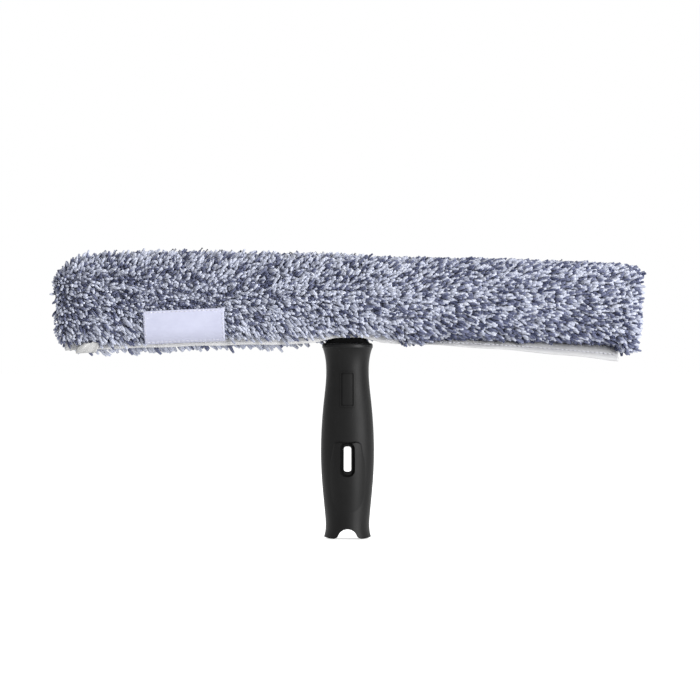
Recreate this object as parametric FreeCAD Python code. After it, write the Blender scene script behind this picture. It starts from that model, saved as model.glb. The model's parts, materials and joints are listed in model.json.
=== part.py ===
import FreeCAD, Part
import math
import os

# A window scrubber: a T-shaped tool. A soft-gripped handle with a pole socket in its foot carries a
# bowed crossbar, and the crossbar wears a washing sleeve of pile that is drawn off to the right.
# Millimetres. X runs along the crossbar, Y from front to back, Z up the handle. The origin is the
# centre of the mouth of the socket's straight bore.

V = FreeCAD.Vector
BOW_AXIS = V(0, 1, 0)

# Pole socket
socket_r = 12.5
socket_depth = 38.0
socket_flare = 1.5
lead_in = 10.0
throat_r = 10.5
throat_length = 32.0
core_wall = 2.5

# Screw chamber and stem pocket above the socket
chamber_r = 8.0
chamber_length = 25.0
web_thickness = 7.0
shank_core_r = 12.0
shank_taper = 10.0

# Grip: heights above the foot, and how far it stands out from the core, at the side and in front
grip_height = 148.0
foot_side = 3.8
foot_front = 2.2
lower_waist_height = 19.5
lower_waist_side = 2.6
lower_waist_front = 1.5
belly_low_height = 54.0
belly_high_height = 80.0
belly_side = 5.5
belly_front = 1.2
taper_height = 106.0
taper_side = 3.6
taper_front = 1.0
upper_waist_height = 131.0
upper_waist_side = 1.6
upper_waist_front = 0.7
collar_foot_height = 142.5
collar_foot_side = 2.7
collar_foot_front = 1.5
collar_side = 4.3
collar_front = 3.0

# Scalloped foot
scallop_height = 7.5
scallop_arch_r = 7.6
scallop_lobe_r = 4.2
scallop_corner = 1.5

# Raised panel round the slot, front and back
panel_top = 75.6
panel_top_half_width = 9.2
panel_foot_half_width = 15.0
panel_corner_r = 4.0
panel_flank_slope = 0.8
panel_flank_cover = 0.5
panel_flank_in = 5.0
panel_flank_out = 4.0
panel_top_cover = 2.7
panel_middle_height = 50.0
panel_middle_cover = 3.1
panel_low_height = 30.0
panel_low_cover = 2.15
panel_end_height = 14.0
panel_end_cover = 1.0

# Slot for the pole's spring button
slot_width = 5.7
slot_height = 20.3
slot_corner_r = 2.0
slot_bottom = 51.4
slot_ring = 1.3
slot_ring_depth = 1.2
slot_bevel = 2.0
slot_bevel_past = 0.9

# Framed plate below the collar
plate_width = 11.7
plate_height = 28.0
plate_bottom = 102.0
plate_corner_r = 1.6
plate_line = 1.1
plate_rise = 0.4
plate_sink = 0.4

# Flange at the top of the core
flange_thickness = 4.0
flange_lip = 0.45
flange_top_r = 1.8
flange_under_r = 0.7

# Stem
plug_width = 18.0
plug_depth = 12.0
plug_corner_r = 3.0
plug_fit = 0.1
neck_width = 28.0
neck_depth = 18.0
neck_corner_r = 6.0
neck_flare = 3.5
neck_flare_height = 4.0
pad_edge = 4.0
pad_thickness = 6.0
pad_corner_r = 5.0

# Fasteners
screw_r = 2.5
screw_play = 0.25
screw_bite = 23.0
head_r = 4.5
head_height = 4.0
head_play = 0.5
drive_across = 4.0
drive_depth = 2.2
washer_r = 6.0
washer_thickness = 1.0
bar_screw_spacing = 52.0
bar_screw_reach = 7.0
bar_head_height = 3.0

# Crossbar
bow_r = 3000.0
bar_half_length = 214.0
bar_height = 40.0
bar_depth = 24.0
bar_corner_r = 7.0
bar_wall = 1.5
plug_insert = 12.0
plug_cap = 2.0
plug_edge_r = 0.8

# Sleeve
sleeve_play = 0.6
backing_thickness = 1.2
pile_length = 13.6
pile_mouth_round = 22.0
pile_end_round = 13.0
pile_rim = 0.6
mouth_overhang = 14.0
flange_gap = 0.6
slit_play = 1.0
slit_past_pad = 5.0
hem_thickness = 1.4
hem_proud = 0.6
binding_length = 25.0
binding_thickness = 1.2
binding_proud = 1.5

# Crown of the pile: how much fuller it stands over the top than at the sides. Places are shares of
# the way from the middle of the bar to its ends.
pile_crowns = (
    (-1.0, 4.0),
    (-0.7, 2.2),
    (-0.35, -1.0),
    (0.0, -2.6),
    (0.1, -5.0),
    (0.55, -4.6),
    (1.0, -3.0),
)
crown_steps = 14
round_steps = 3

# Seam tape hanging under the closed half of the sleeve
tape_thickness = 1.4
tape_end_inset = 4.6
tape_near_drop = 0.6
tape_far_drop = 7.0
tape_fold_share = 0.55

# Label on the lower front of the pile
label_left = -159.0
label_length = 63.0
label_top = -6.9
label_bottom = -34.6
label_thickness = 0.6

# Sizes that follow from the ones above
core_r = socket_r + core_wall
foot_z = -lead_in
throat_top = socket_depth + throat_length
web_bottom = throat_top + chamber_length
grip_top = foot_z + grip_height
flange_top = grip_top + flange_thickness
plug_bottom = web_bottom + web_thickness
panel_reach = 2 * (core_r + belly_side)
neck_half_depth = neck_depth / 2
pad_length = bar_screw_spacing + 2 * (head_r + head_play + pad_edge)
slit_half = neck_half_depth + slit_play
slit_end = pad_length / 2 + slit_past_pad
backing_grow = sleeve_play + backing_thickness
pile_grow = backing_grow + pile_length
pile_half_height = bar_height / 2 + pile_grow
bar_z = flange_top + flange_gap + hem_proud + pile_half_height
bow_centre = V(0, 0, bar_z - bow_r)
bar_bottom = bar_z - bar_height / 2
backing_bottom = bar_bottom - backing_grow
pile_bottom = bar_bottom - pile_grow
pad_bottom = bar_bottom - pad_thickness
mouth = -bar_half_length - mouth_overhang
backing_end = bar_half_length + plug_cap + backing_grow
pile_far_end = backing_end + pile_length
tape_end = backing_end - tape_end_inset


def rounded_rectangle(width, height, corner_r):
    """A flat face in the XY plane, centred on the origin."""
    x = width / 2 - corner_r
    y = height / 2 - corner_r
    edges = []
    for turn, cx, cy in ((0, x, y), (90, -x, y), (180, -x, -y), (270, x, -y)):
        points = []
        for step in (0, 45, 90):
            angle = math.radians(turn + step)
            points.append(V(cx + corner_r * math.cos(angle), cy + corner_r * math.sin(angle), 0))
        if edges:
            edges.append(Part.makeLine(edges[-1].Curve.value(edges[-1].LastParameter), points[0]))
        edges.append(Part.Arc(*points).toShape())
    start = edges[0].Curve.value(edges[0].FirstParameter)
    edges.append(Part.makeLine(edges[-1].Curve.value(edges[-1].LastParameter), start))
    return Part.Face(Part.Wire(edges))


def rounded_outline(corners, radii):
    """A closed outline through corners in one plane, each rounded by its radius, or sharp at zero."""
    count = len(corners)
    turns = []
    for index, (corner, radius) in enumerate(zip(corners, radii)):
        back = (corners[index - 1] - corner).normalize()
        ahead = (corners[(index + 1) % count] - corner).normalize()
        half = back.getAngle(ahead) / 2
        run = radius / math.tan(half)
        middle = (back + ahead).normalize() * (radius / math.sin(half) - radius)
        turns.append((corner + back * run, corner + middle, corner + ahead * run))
    edges = []
    for index, (start, middle, end) in enumerate(turns):
        if radii[index] > 0:
            edges.append(Part.Arc(start, middle, end).toShape())
        edges.append(Part.makeLine(end, turns[(index + 1) % count][0]))
    return Part.Wire(edges)


def arc_about(centre, radius, start, end):
    """An arc in the XZ plane about a centre, between two angles in degrees from +X towards +Z."""
    points = []
    for angle in (start, (start + end) / 2, end):
        turn = math.radians(angle)
        points.append(centre + V(radius * math.cos(turn), 0, radius * math.sin(turn)))
    return Part.Arc(*points).toShape()


def upright(face, x, y, z):
    """Stand a flat XY face up in the XZ plane, facing the front, and move it into place."""
    stood = face.copy()
    stood.rotate(V(0, 0, 0), V(1, 0, 0), 90)
    stood.translate(V(x, y, z))
    return stood


def front_prism(face, x, z, y_front, y_back):
    """A prism along Y of a flat face seen from the front."""
    return upright(face, x, y_front, z).extrude(V(0, y_back - y_front, 0))


def bar_section(grow):
    """The crossbar's outline, grown all round, drawn across the bar at its middle."""
    face = rounded_rectangle(bar_depth + 2 * grow, bar_height + 2 * grow, bar_corner_r + grow)
    face.rotate(V(0, 0, 0), V(1, 1, 1), 120)
    face.translate(V(0, 0, bar_z))
    return face


def strip_section(y_low, y_high, z_low, z_high):
    """A plain rectangle drawn across the bar at its middle."""
    corners = [V(0, y_low, z_low), V(0, y_high, z_low), V(0, y_high, z_high), V(0, y_low, z_high)]
    return Part.Face(Part.makePolygon(corners + corners[:1]))


def along_bow(section, start, end):
    """Sweep a section along the bow, between two distances measured along the bar's middle line."""
    turned = section.copy()
    turned.rotate(bow_centre, BOW_AXIS, math.degrees(start / bow_r))
    return turned.revolve(bow_centre, BOW_AXIS, math.degrees((end - start) / bow_r))


def on_bow(distance, height):
    """A point in the XZ plane, at a distance along the bow and a height drawn at its middle."""
    angle = distance / bow_r
    radius = height - bow_centre.z
    return V(radius * math.sin(angle), 0, bow_centre.z + radius * math.cos(angle))


def oval(side, front, z):
    """A closed oval in a level plane."""
    squash = FreeCAD.Matrix()
    squash.scale(side, front, 1)
    wire = Part.Wire(Part.makeCircle(1)).transformGeometry(squash)
    wire.translate(V(0, 0, z))
    return wire


def grip_form(extra=0.0):
    """The grip's outer form as a solid, grown by an extra thickness."""
    stations = (
        (0, foot_side, foot_front),
        (lower_waist_height, lower_waist_side, lower_waist_front),
        (belly_low_height, belly_side, belly_front),
        (belly_high_height, belly_side, belly_front),
        (taper_height, taper_side, taper_front),
        (upper_waist_height, upper_waist_side, upper_waist_front),
        (collar_foot_height, collar_foot_side, collar_foot_front),
        (grip_height, collar_side, collar_front),
    )
    grown = core_r + extra
    ovals = [oval(grown + side, grown + front, foot_z + height) for height, side, front in stations]
    return Part.makeLoft(ovals, True)


def panel_block(side):
    """The space that the raised panel fills, with flanks that slope down into the grip."""
    wires = []
    for past in (-panel_flank_in, panel_flank_out):
        grow = -past * panel_flank_slope
        y = side * (core_r + panel_flank_cover + past)
        foot = foot_z + panel_end_height
        top = foot_z + panel_top + grow
        corners = [
            V(-panel_foot_half_width - grow, y, foot),
            V(panel_foot_half_width + grow, y, foot),
            V(panel_top_half_width + grow, y, top),
            V(-panel_top_half_width - grow, y, top),
        ]
        shoulder_r = panel_corner_r + grow / 2
        wires.append(rounded_outline(corners, (0, 0, shoulder_r, shoulder_r)))
    return Part.makeLoft(wires, True, True)


def panel_form():
    """The round form that swells out of the grip, front and back, as the raised panel."""
    stations = (
        (panel_end_height, panel_end_cover),
        (panel_low_height, panel_low_cover),
        (panel_middle_height, panel_middle_cover),
        (panel_top, panel_top_cover),
    )
    rounds = [oval(core_r + cover, core_r + cover, foot_z + height) for height, cover in stations]
    swell = Part.makeLoft(rounds, True)
    return [swell.common(panel_block(side)) for side in (-1, 1)]


def core_form():
    """The outside of the handle's core below its flange."""
    shank_start = throat_top + core_wall
    points = [
        V(0, 0, foot_z),
        V(core_r, 0, foot_z),
        V(core_r, 0, shank_start),
        V(shank_core_r, 0, shank_start + shank_taper),
        V(shank_core_r, 0, grip_top),
        V(0, 0, grip_top),
    ]
    profile = Part.Face(Part.makePolygon(points + points[:1]))
    return profile.revolve(V(0, 0, 0), V(0, 0, 1), 360)


def socket_form():
    """Everything hollow inside the core, from the lead-in up to the screw's web."""
    points = [
        V(0, 0, foot_z),
        V(socket_r + socket_flare, 0, foot_z),
        V(socket_r, 0, 0),
        V(socket_r, 0, socket_depth),
        V(throat_r, 0, throat_top),
        V(chamber_r, 0, throat_top),
        V(chamber_r, 0, web_bottom),
        V(0, 0, web_bottom),
    ]
    profile = Part.Face(Part.makePolygon(points + points[:1]))
    return profile.revolve(V(0, 0, 0), V(0, 0, 1), 360)


def scallop_cut():
    """The space under the wavy foot: two lobes with an arched notch between them."""
    edge_x = core_r + foot_side
    arch = V(0, 0, foot_z + scallop_height - scallop_arch_r)
    rise = foot_z + scallop_lobe_r - arch.z
    lobe_x = math.sqrt((scallop_arch_r + scallop_lobe_r) ** 2 - rise ** 2)
    tilt = math.degrees(math.atan2(rise, lobe_x))
    run_out = edge_x - lobe_x
    sole_r = (run_out ** 2 + scallop_corner ** 2) / (2 * scallop_corner)
    sole_turn = math.degrees(math.asin(run_out / sole_r))
    right = [
        arc_about(arch, scallop_arch_r, 90, tilt),
        arc_about(V(lobe_x, 0, foot_z + scallop_lobe_r), scallop_lobe_r, 180 + tilt, 270),
        arc_about(V(lobe_x, 0, foot_z + sole_r), sole_r, 270, 270 + sole_turn),
    ]
    left = [edge.mirror(V(0, 0, 0), V(1, 0, 0)) for edge in right]
    floor_z = foot_z - scallop_height
    sides = Part.makePolygon([
        V(edge_x, 0, foot_z + scallop_corner),
        V(edge_x + scallop_height, 0, foot_z + scallop_height),
        V(edge_x + scallop_height, 0, floor_z),
        V(-edge_x - scallop_height, 0, floor_z),
        V(-edge_x - scallop_height, 0, foot_z + scallop_height),
        V(-edge_x, 0, foot_z + scallop_corner),
    ])
    face = Part.Face(Part.Wire(Part.sortEdges(left + right + sides.Edges)[0]))
    face.translate(V(0, -panel_reach / 2, 0))
    return face.extrude(V(0, panel_reach, 0))


def slot_prism():
    """The button slot, straight through the handle."""
    face = rounded_rectangle(slot_width, slot_height, slot_corner_r)
    middle = foot_z + slot_bottom + slot_height / 2
    return front_prism(face, 0, middle, -panel_reach / 2, panel_reach / 2)


def slot_bevels():
    """The sloping mouths of the slot in the grip, front and back, which leave a ring of the core bare."""
    reach = panel_middle_cover + slot_bevel_past
    spread = slot_ring + slot_bevel * reach / panel_middle_cover
    inner, outer = [rounded_rectangle(slot_width + 2 * grow, slot_height + 2 * grow, slot_corner_r + grow)
                    for grow in (slot_ring, spread)]
    middle = foot_z + slot_bottom + slot_height / 2
    bevels = []
    for side in (-1, 1):
        wires = [upright(inner, 0, side * (core_r - slot_ring_depth), middle).OuterWire,
                 upright(outer, 0, side * (core_r + reach), middle).OuterWire]
        bevels.append(Part.makeLoft(wires, True, True))
    return bevels


def framed_plate():
    """The rim that stands out of the grip's front, and the field that is sunk inside it."""
    middle = foot_z + plate_bottom + plate_height / 2
    outer = rounded_rectangle(plate_width, plate_height, plate_corner_r)
    inner = rounded_rectangle(plate_width - 2 * plate_line, plate_height - 2 * plate_line,
                              plate_corner_r / 2)
    frame = front_prism(outer.cut(inner), 0, middle, -panel_reach / 2, -shank_core_r)
    field = front_prism(inner, 0, middle, -panel_reach / 2, -shank_core_r)
    rim = frame.common(grip_form(plate_rise))
    sunk = field.cut(grip_form(-plate_sink))
    return rim, sunk


def make_grip():
    rim, sunk = framed_plate()
    grip = grip_form().fuse(panel_form() + [rim])
    tools = [core_form(), slot_prism(), scallop_cut(), sunk] + slot_bevels()
    return grip.cut(tools).removeSplitter()


def make_flange():
    side = core_r + collar_side + flange_lip
    front = core_r + collar_front + flange_lip
    flange = Part.Face(oval(side, front, grip_top)).extrude(V(0, 0, flange_thickness))
    top = [edge for edge in flange.Edges if edge.BoundBox.ZMin > flange_top - 0.1]
    under = [edge for edge in flange.Edges if edge.BoundBox.ZMax < grip_top + 0.1]
    return flange.makeFillet(flange_top_r, top).makeFillet(flange_under_r, under)


def level_block(width, depth, corner_r, bottom, top):
    """An upright block with rounded corners, centred on the handle's axis."""
    face = rounded_rectangle(width, depth, corner_r)
    face.translate(V(0, 0, bottom))
    return face.extrude(V(0, 0, top - bottom))


def make_handle_core():
    outside = core_form().fuse(make_flange())
    pocket = level_block(plug_width + 2 * plug_fit, plug_depth + 2 * plug_fit,
                         plug_corner_r + plug_fit, plug_bottom, flange_top)
    bolt_hole = Part.makeCylinder(screw_r + screw_play, web_thickness, V(0, 0, web_bottom))
    return outside.cut([socket_form(), pocket, bolt_hole, slot_prism(), scallop_cut()])


def neck_flare_form():
    wide = rounded_rectangle(neck_width + 2 * neck_flare, neck_depth, neck_corner_r)
    wide.translate(V(0, 0, flange_top))
    slim = rounded_rectangle(neck_width, neck_depth, neck_corner_r)
    slim.translate(V(0, 0, flange_top + neck_flare_height))
    return Part.makeLoft([wide.OuterWire, slim.OuterWire], True, True)


def make_stem():
    plug = level_block(plug_width, plug_depth, plug_corner_r, plug_bottom, flange_top)
    neck = level_block(neck_width, neck_depth, neck_corner_r, flange_top,
                       bar_bottom - pad_thickness / 2)
    section = strip_section(-neck_half_depth, neck_half_depth, pad_bottom, bar_bottom)
    pad = along_bow(section, -pad_length / 2, pad_length / 2)
    ends = [edge for edge in pad.Edges
            if edge.BoundBox.ZLength > pad_thickness * 0.9 and edge.BoundBox.YLength < 0.1]
    pad = pad.makeFillet(pad_corner_r, ends)
    stem = plug.fuse([neck, neck_flare_form(), pad])
    holes = [Part.makeCylinder(screw_r, screw_bite, V(0, 0, plug_bottom))]
    for x in (-bar_screw_spacing / 2, bar_screw_spacing / 2):
        seat = pad_bottom + bar_head_height
        holes.append(Part.makeCylinder(screw_r + screw_play, pad_thickness, V(x, 0, seat)))
        holes.append(Part.makeCylinder(head_r + head_play, 2 * bar_head_height,
                                       V(x, 0, seat - 2 * bar_head_height)))
    return stem.cut(holes).removeSplitter()


def hex_prism(across, height, base):
    """A hexagonal recess, opening downwards from its base."""
    corner = across / math.sqrt(3)
    points = []
    for turn in range(6):
        angle = math.radians(60 * turn)
        points.append(base + V(corner * math.cos(angle), corner * math.sin(angle), 0))
    return Part.Face(Part.makePolygon(points + points[:1])).extrude(V(0, 0, height))


def make_screw(x, seat, head_h, length):
    """A socket screw driven upwards, whose head bears up against its seat."""
    head = Part.makeCylinder(head_r, head_h, V(x, 0, seat - head_h))
    shank = Part.makeCylinder(screw_r, length, V(x, 0, seat))
    drive = hex_prism(drive_across, drive_depth, V(x, 0, seat - head_h))
    return head.fuse(shank).cut(drive).removeSplitter()


def make_stem_screw():
    seat = web_bottom - washer_thickness
    return make_screw(0, seat, head_height, plug_bottom + screw_bite - seat)


def make_stem_washer():
    bottom = V(0, 0, web_bottom - washer_thickness)
    disc = Part.makeCylinder(washer_r, washer_thickness, bottom)
    return disc.cut(Part.makeCylinder(screw_r + screw_play, washer_thickness, bottom))


def bar_screw_shapes():
    seat = pad_bottom + bar_head_height
    length = bar_bottom - seat + bar_screw_reach
    return [make_screw(x, seat, bar_head_height, length)
            for x in (-bar_screw_spacing / 2, bar_screw_spacing / 2)]


def make_crossbar():
    section = bar_section(0).cut(bar_section(-bar_wall))
    tube = along_bow(section, -bar_half_length, bar_half_length)
    holes = [Part.makeCylinder(screw_r, 2 * bar_wall, V(x, 0, bar_bottom - bar_wall))
             for x in (-bar_screw_spacing / 2, bar_screw_spacing / 2)]
    return tube.cut(holes)


def make_end_plug(side):
    face_at = side * bar_half_length
    cap = along_bow(bar_section(0), face_at, face_at + side * plug_cap)
    rim = [edge for edge in cap.Edges if side * edge.CenterOfMass.x > bar_half_length + plug_cap * 0.6]
    cap = cap.makeFillet(plug_edge_r, rim)
    insert = along_bow(bar_section(-bar_wall), face_at - side * plug_insert, face_at)
    return cap.fuse(insert).removeSplitter()


def slit_cut(half_width):
    """The slit under the open half of the sleeve, from its mouth to just past the stem's pad."""
    section = strip_section(-half_width, half_width, pile_bottom - pile_length, bar_bottom + bar_wall)
    return along_bow(section, mouth - mouth_overhang, slit_end)


def make_sleeve_backing():
    outside = along_bow(bar_section(backing_grow), mouth, backing_end)
    inside = along_bow(bar_section(sleeve_play), mouth - mouth_overhang, backing_end - backing_thickness)
    return outside.cut([inside, slit_cut(slit_half)])


def make_end_binding():
    section = bar_section(backing_grow + binding_thickness).cut(bar_section(backing_grow))
    ring = along_bow(section, mouth - binding_proud, mouth + binding_length)
    return ring.cut(slit_cut(slit_half + hem_thickness))


def tape_space():
    """The parting in the pile that the seam tape passes through."""
    section = strip_section(-tape_thickness, tape_thickness, pile_bottom - pile_length, backing_bottom)
    return along_bow(section, slit_end, tape_end)


def pile_section(place, top, side):
    """The pile's outline across the sleeve, with its own stand-off over the top and all round below."""
    half_depth = bar_depth / 2 + side
    low = bar_z - bar_height / 2 - side
    high = bar_z + bar_height / 2 + top
    corners = [V(0, -half_depth, low), V(0, half_depth, low), V(0, half_depth, high), V(0, -half_depth, high)]
    top_r = bar_corner_r + min(top, side)
    outline = rounded_outline(corners, (bar_corner_r + side, bar_corner_r + side, top_r, top_r))
    outline.rotate(bow_centre, BOW_AXIS, math.degrees(place / bow_r))
    return outline


def crown(place):
    """How much fuller the pile stands over the top than at the sides, at a place along the bar."""
    share = place / bar_half_length
    for (before, low), (after, high) in zip(pile_crowns, pile_crowns[1:]):
        if share <= after:
            part = max(0.0, (share - before) / (after - before))
            return low + (high - low) * part
    return pile_crowns[-1][1]


def pile_form():
    """The sleeve's whole outer form, crowned along the top and rounded at both ends."""
    full_from = mouth + pile_mouth_round
    full_to = pile_far_end - pile_end_round
    rim = backing_grow + binding_thickness + pile_rim
    places = []
    for step in range(round_steps):
        turn = math.radians(90 * step / round_steps)
        places.append((full_from - pile_mouth_round * math.cos(turn), math.sin(turn)))
    for step in range(crown_steps + 1):
        places.append((full_from + (full_to - full_from) * step / crown_steps, 1.0))
    for step in range(round_steps - 1, -1, -1):
        turn = math.radians(90 * step / round_steps)
        places.append((full_to + pile_end_round * math.cos(turn), math.sin(turn)))
    sections = []
    for place, fullness in places:
        side = rim + (pile_grow - rim) * fullness
        top = rim + (pile_grow + crown(place) - rim) * fullness
        sections.append(pile_section(place, top, side))
    return Part.makeLoft(sections, True)


def far_end_block():
    """The space beyond the end of the backing, which the end panel of pile fills."""
    section = strip_section(-bar_height, bar_height, bar_z - bar_height - pile_grow,
                            bar_z + bar_height + pile_grow)
    return along_bow(section, backing_end, pile_far_end + pile_length)


def make_pile_cover():
    hollow = along_bow(bar_section(backing_grow), mouth - mouth_overhang, backing_end)
    binding_seat = along_bow(bar_section(backing_grow + binding_thickness), mouth - mouth_overhang,
                             mouth + binding_length)
    tools = [hollow, binding_seat, slit_cut(slit_half + hem_thickness), tape_space(), far_end_block()]
    return pile_form().cut(tools)


def make_pile_end():
    return pile_form().common(far_end_block())


def make_hem(side):
    y_inner = side * slit_half
    y_outer = side * (slit_half + hem_thickness)
    section = strip_section(min(y_inner, y_outer), max(y_inner, y_outer),
                            pile_bottom - hem_proud, backing_bottom)
    return along_bow(section, mouth, slit_end)


def tape_layer(y_low, y_high, share):
    """One layer of the folded seam tape, hanging to a share of the tape's full drop."""
    top = [on_bow(place, backing_bottom) for place in (slit_end, (slit_end + tape_end) / 2, tape_end)]
    foot = [on_bow(tape_end, pile_bottom - share * tape_far_drop),
            on_bow(slit_end, pile_bottom - share * tape_near_drop)]
    edges = [Part.Arc(*top).toShape(), Part.makeLine(top[2], foot[0]),
             Part.makeLine(foot[0], foot[1]), Part.makeLine(foot[1], top[0])]
    face = Part.Face(Part.Wire(edges))
    face.translate(V(0, y_low, 0))
    return face.extrude(V(0, y_high - y_low, 0))


def make_seam_tape():
    front = tape_layer(-tape_thickness, 0, tape_fold_share)
    back = tape_layer(0, tape_thickness, 1.0)
    return front.fuse(back)


def make_label():
    band = bar_section(pile_grow + label_thickness).cut(bar_section(pile_grow))
    window = strip_section(-bar_depth / 2 - pile_grow - label_thickness, -slit_half - hem_thickness,
                           bar_z + label_bottom - label_thickness, bar_z + label_top)
    return along_bow(band.common(window), label_left, label_left + label_length)


NODES = {
    "handle_core": make_handle_core(),
    "grip": make_grip(),
    "stem": make_stem(),
    "stem_screw": make_stem_screw(),
    "stem_washer": make_stem_washer(),
    "crossbar": make_crossbar(),
    "end_plug_left": make_end_plug(-1),
    "end_plug_right": make_end_plug(1),
    "bar_screws": Part.makeCompound(bar_screw_shapes()),
    "sleeve_backing": make_sleeve_backing(),
    "pile_cover": make_pile_cover(),
    "pile_end": make_pile_end(),
    "hem_front": make_hem(-1),
    "hem_back": make_hem(1),
    "seam_tape": make_seam_tape(),
    "end_binding": make_end_binding(),
    "label": make_label(),
}

os.makedirs("parts", exist_ok=True)
for name, shape in NODES.items():
    solids = shape.Solids
    whole = solids[0] if len(solids) == 1 else Part.makeCompound(solids)
    whole.exportStep(f"parts/{name}.step")
    box = whole.BoundBox
    print(f"{name}: {len(solids)} solid, valid {whole.isValid()}, {whole.Volume / 1000:.2f} cm3, "
          f"x {box.XMin:.1f}..{box.XMax:.1f}, y {box.YMin:.1f}..{box.YMax:.1f}, "
          f"z {box.ZMin:.1f}..{box.ZMax:.1f}")
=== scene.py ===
# %% [markdown]
# A window scrubber: a black soft-gripped handle carries a bowed crossbar, and a sleeve of blue and
# white pile is pulled over the bar. The hard parts come from the CAD frame and keep their places.
# The sleeve, its tapes and its label are cloth, so they are modelled here strand by strand.

# %% Load the frame
import json
import math

import bpy
import numpy as np
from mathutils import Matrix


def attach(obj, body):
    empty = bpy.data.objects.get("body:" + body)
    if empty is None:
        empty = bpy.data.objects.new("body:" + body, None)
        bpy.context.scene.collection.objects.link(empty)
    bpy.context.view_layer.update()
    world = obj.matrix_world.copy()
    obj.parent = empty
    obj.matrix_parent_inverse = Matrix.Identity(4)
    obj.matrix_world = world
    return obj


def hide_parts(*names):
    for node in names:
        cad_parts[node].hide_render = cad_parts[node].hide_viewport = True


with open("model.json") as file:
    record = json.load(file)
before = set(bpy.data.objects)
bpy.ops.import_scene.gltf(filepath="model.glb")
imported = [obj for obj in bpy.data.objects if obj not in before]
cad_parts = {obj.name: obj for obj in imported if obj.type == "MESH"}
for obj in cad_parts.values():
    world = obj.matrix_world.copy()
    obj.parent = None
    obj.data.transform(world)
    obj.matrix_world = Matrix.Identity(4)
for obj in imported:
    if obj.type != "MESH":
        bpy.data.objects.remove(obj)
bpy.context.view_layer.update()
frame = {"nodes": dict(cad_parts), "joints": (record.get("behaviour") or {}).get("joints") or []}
nodes = frame["nodes"]
MM = 0.001

# %% [markdown]
# The crossbar is bowed: its middle line is an arc about the axis that the sleeve turns on when it is
# drawn off. One helper turns a place along that arc, a depth and a height into a point in space, so
# everything sewn to the sleeve can be written as if the bar were straight.

# %% The bow of the bar
BAR_AXIS_Z = 178.6 * MM
BOW_CENTRE_Z = frame["joints"][0]["pos_m"][2]
BOW_RADIUS = BAR_AXIS_Z - BOW_CENTRE_Z


def on_bow(along, depth, height):
    """Points at a distance along the bar's arc, a depth to the back and a height over its middle."""
    turn = np.asarray(along) / BOW_RADIUS
    reach = BOW_RADIUS + np.asarray(height)
    x = reach * np.sin(turn)
    z = BOW_CENTRE_Z + reach * np.cos(turn)
    return np.stack(np.broadcast_arrays(x, depth, z), axis=-1)


def bow_axes(along):
    """The bar's own directions at a place along it: to the right, and up."""
    turn = np.asarray(along) / BOW_RADIUS
    zero = np.zeros_like(turn)
    to_right = np.stack([np.cos(turn), zero, -np.sin(turn)], axis=-1)
    upward = np.stack([np.sin(turn), zero, np.cos(turn)], axis=-1)
    return to_right, upward


print("bow radius in m:", round(BOW_RADIUS, 3))

# %% [markdown]
# The photograph is a catalogue picture: straight from the front, level, with a long lens. A camera far
# away with a narrow field gives the same flat look. One pixel is 0.78 mm on the object, which sets
# the lens for the chosen distance.

# %% Camera
PIXEL = 0.78 * MM
FRAME_PIXELS = 700
SENSOR_MM = 36
CAMERA_AWAY = 3.0
HANDLE_PIXEL_X = 347.5
FOOT_PIXEL_Y = 538
FOOT_Z = -10 * MM

camera_data = bpy.data.cameras.new("front_camera")
camera_data.sensor_width = SENSOR_MM
camera_data.lens = SENSOR_MM * CAMERA_AWAY / (FRAME_PIXELS * PIXEL)
camera = bpy.data.objects.new("front_camera", camera_data)
bpy.context.collection.objects.link(camera)
aim_x = (FRAME_PIXELS / 2 - HANDLE_PIXEL_X) * PIXEL
aim_z = (FOOT_PIXEL_Y - FRAME_PIXELS / 2) * PIXEL + FOOT_Z
camera.location = (aim_x, -CAMERA_AWAY, aim_z)
camera.rotation_euler = (math.pi / 2, 0, 0)
bpy.context.scene.camera = camera
bpy.context.scene.view_settings.view_transform = "Standard"
print("lens in mm:", round(camera_data.lens, 1))

# %% [markdown]
# The studio is white. What the camera sees of the world and the floor should be brighter than the light
# they give, so both need to know where a ray comes from. The light path node tells them. Every finish
# starts from the same main shader, with a roughness and a strength of its shine.

# %% Studio helpers
def link(start, end):
    """Leads one node's output to another's input, in the node tree that both belong to."""
    end.id_data.links.new(start, end)


def maths(operation, first, second):
    """A node's output reckoned together with a number or another node's output."""
    node = first.id_data.nodes.new("ShaderNodeMath")
    node.operation = operation
    link(first, node.inputs[0])
    if isinstance(second, float):
        node.inputs[1].default_value = second
    else:
        link(second, node.inputs[1])
    return node.outputs[0]


def seen_directly(shader):
    """One where a ray comes from the camera, a reflection or a clear material, and zero elsewhere."""
    path = shader.id_data.nodes.new("ShaderNodeLightPath")
    seen = maths("MAXIMUM", path.outputs["Is Camera Ray"], path.outputs["Is Glossy Ray"])
    return maths("MAXIMUM", seen, path.outputs["Is Transmission Ray"])


def new_finish(name, roughness, specular):
    """A material and its main shader."""
    material = bpy.data.materials.new(name)
    material.use_nodes = True
    shader = material.node_tree.nodes["Principled BSDF"]
    shader.inputs["Roughness"].default_value = roughness
    shader.inputs["Specular IOR Level"].default_value = specular
    return material, shader


# %% [markdown]
# The world looks white to the camera and to reflections, but lights the scene at a plain level, so
# that black rubber stays black. A picture of a studio could be used, but one even colour is enough here.

# %% World
WORLD_LIGHT = 0.53
world = bpy.data.worlds.new("white_studio")
world.use_nodes = True
bpy.context.scene.world = world
backdrop = world.node_tree.nodes["Background"]
backdrop.inputs["Color"].default_value = (1, 1, 1, 1)
world_level = world.node_tree.nodes.new("ShaderNodeMapRange")
world_level.inputs["To Min"].default_value = WORLD_LIGHT
world_level.inputs["To Max"].default_value = 1.0
link(seen_directly(backdrop), world_level.inputs["Value"])
link(world_level.outputs["Result"], backdrop.inputs["Strength"])
print("world lights at", WORLD_LIGHT)

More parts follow.
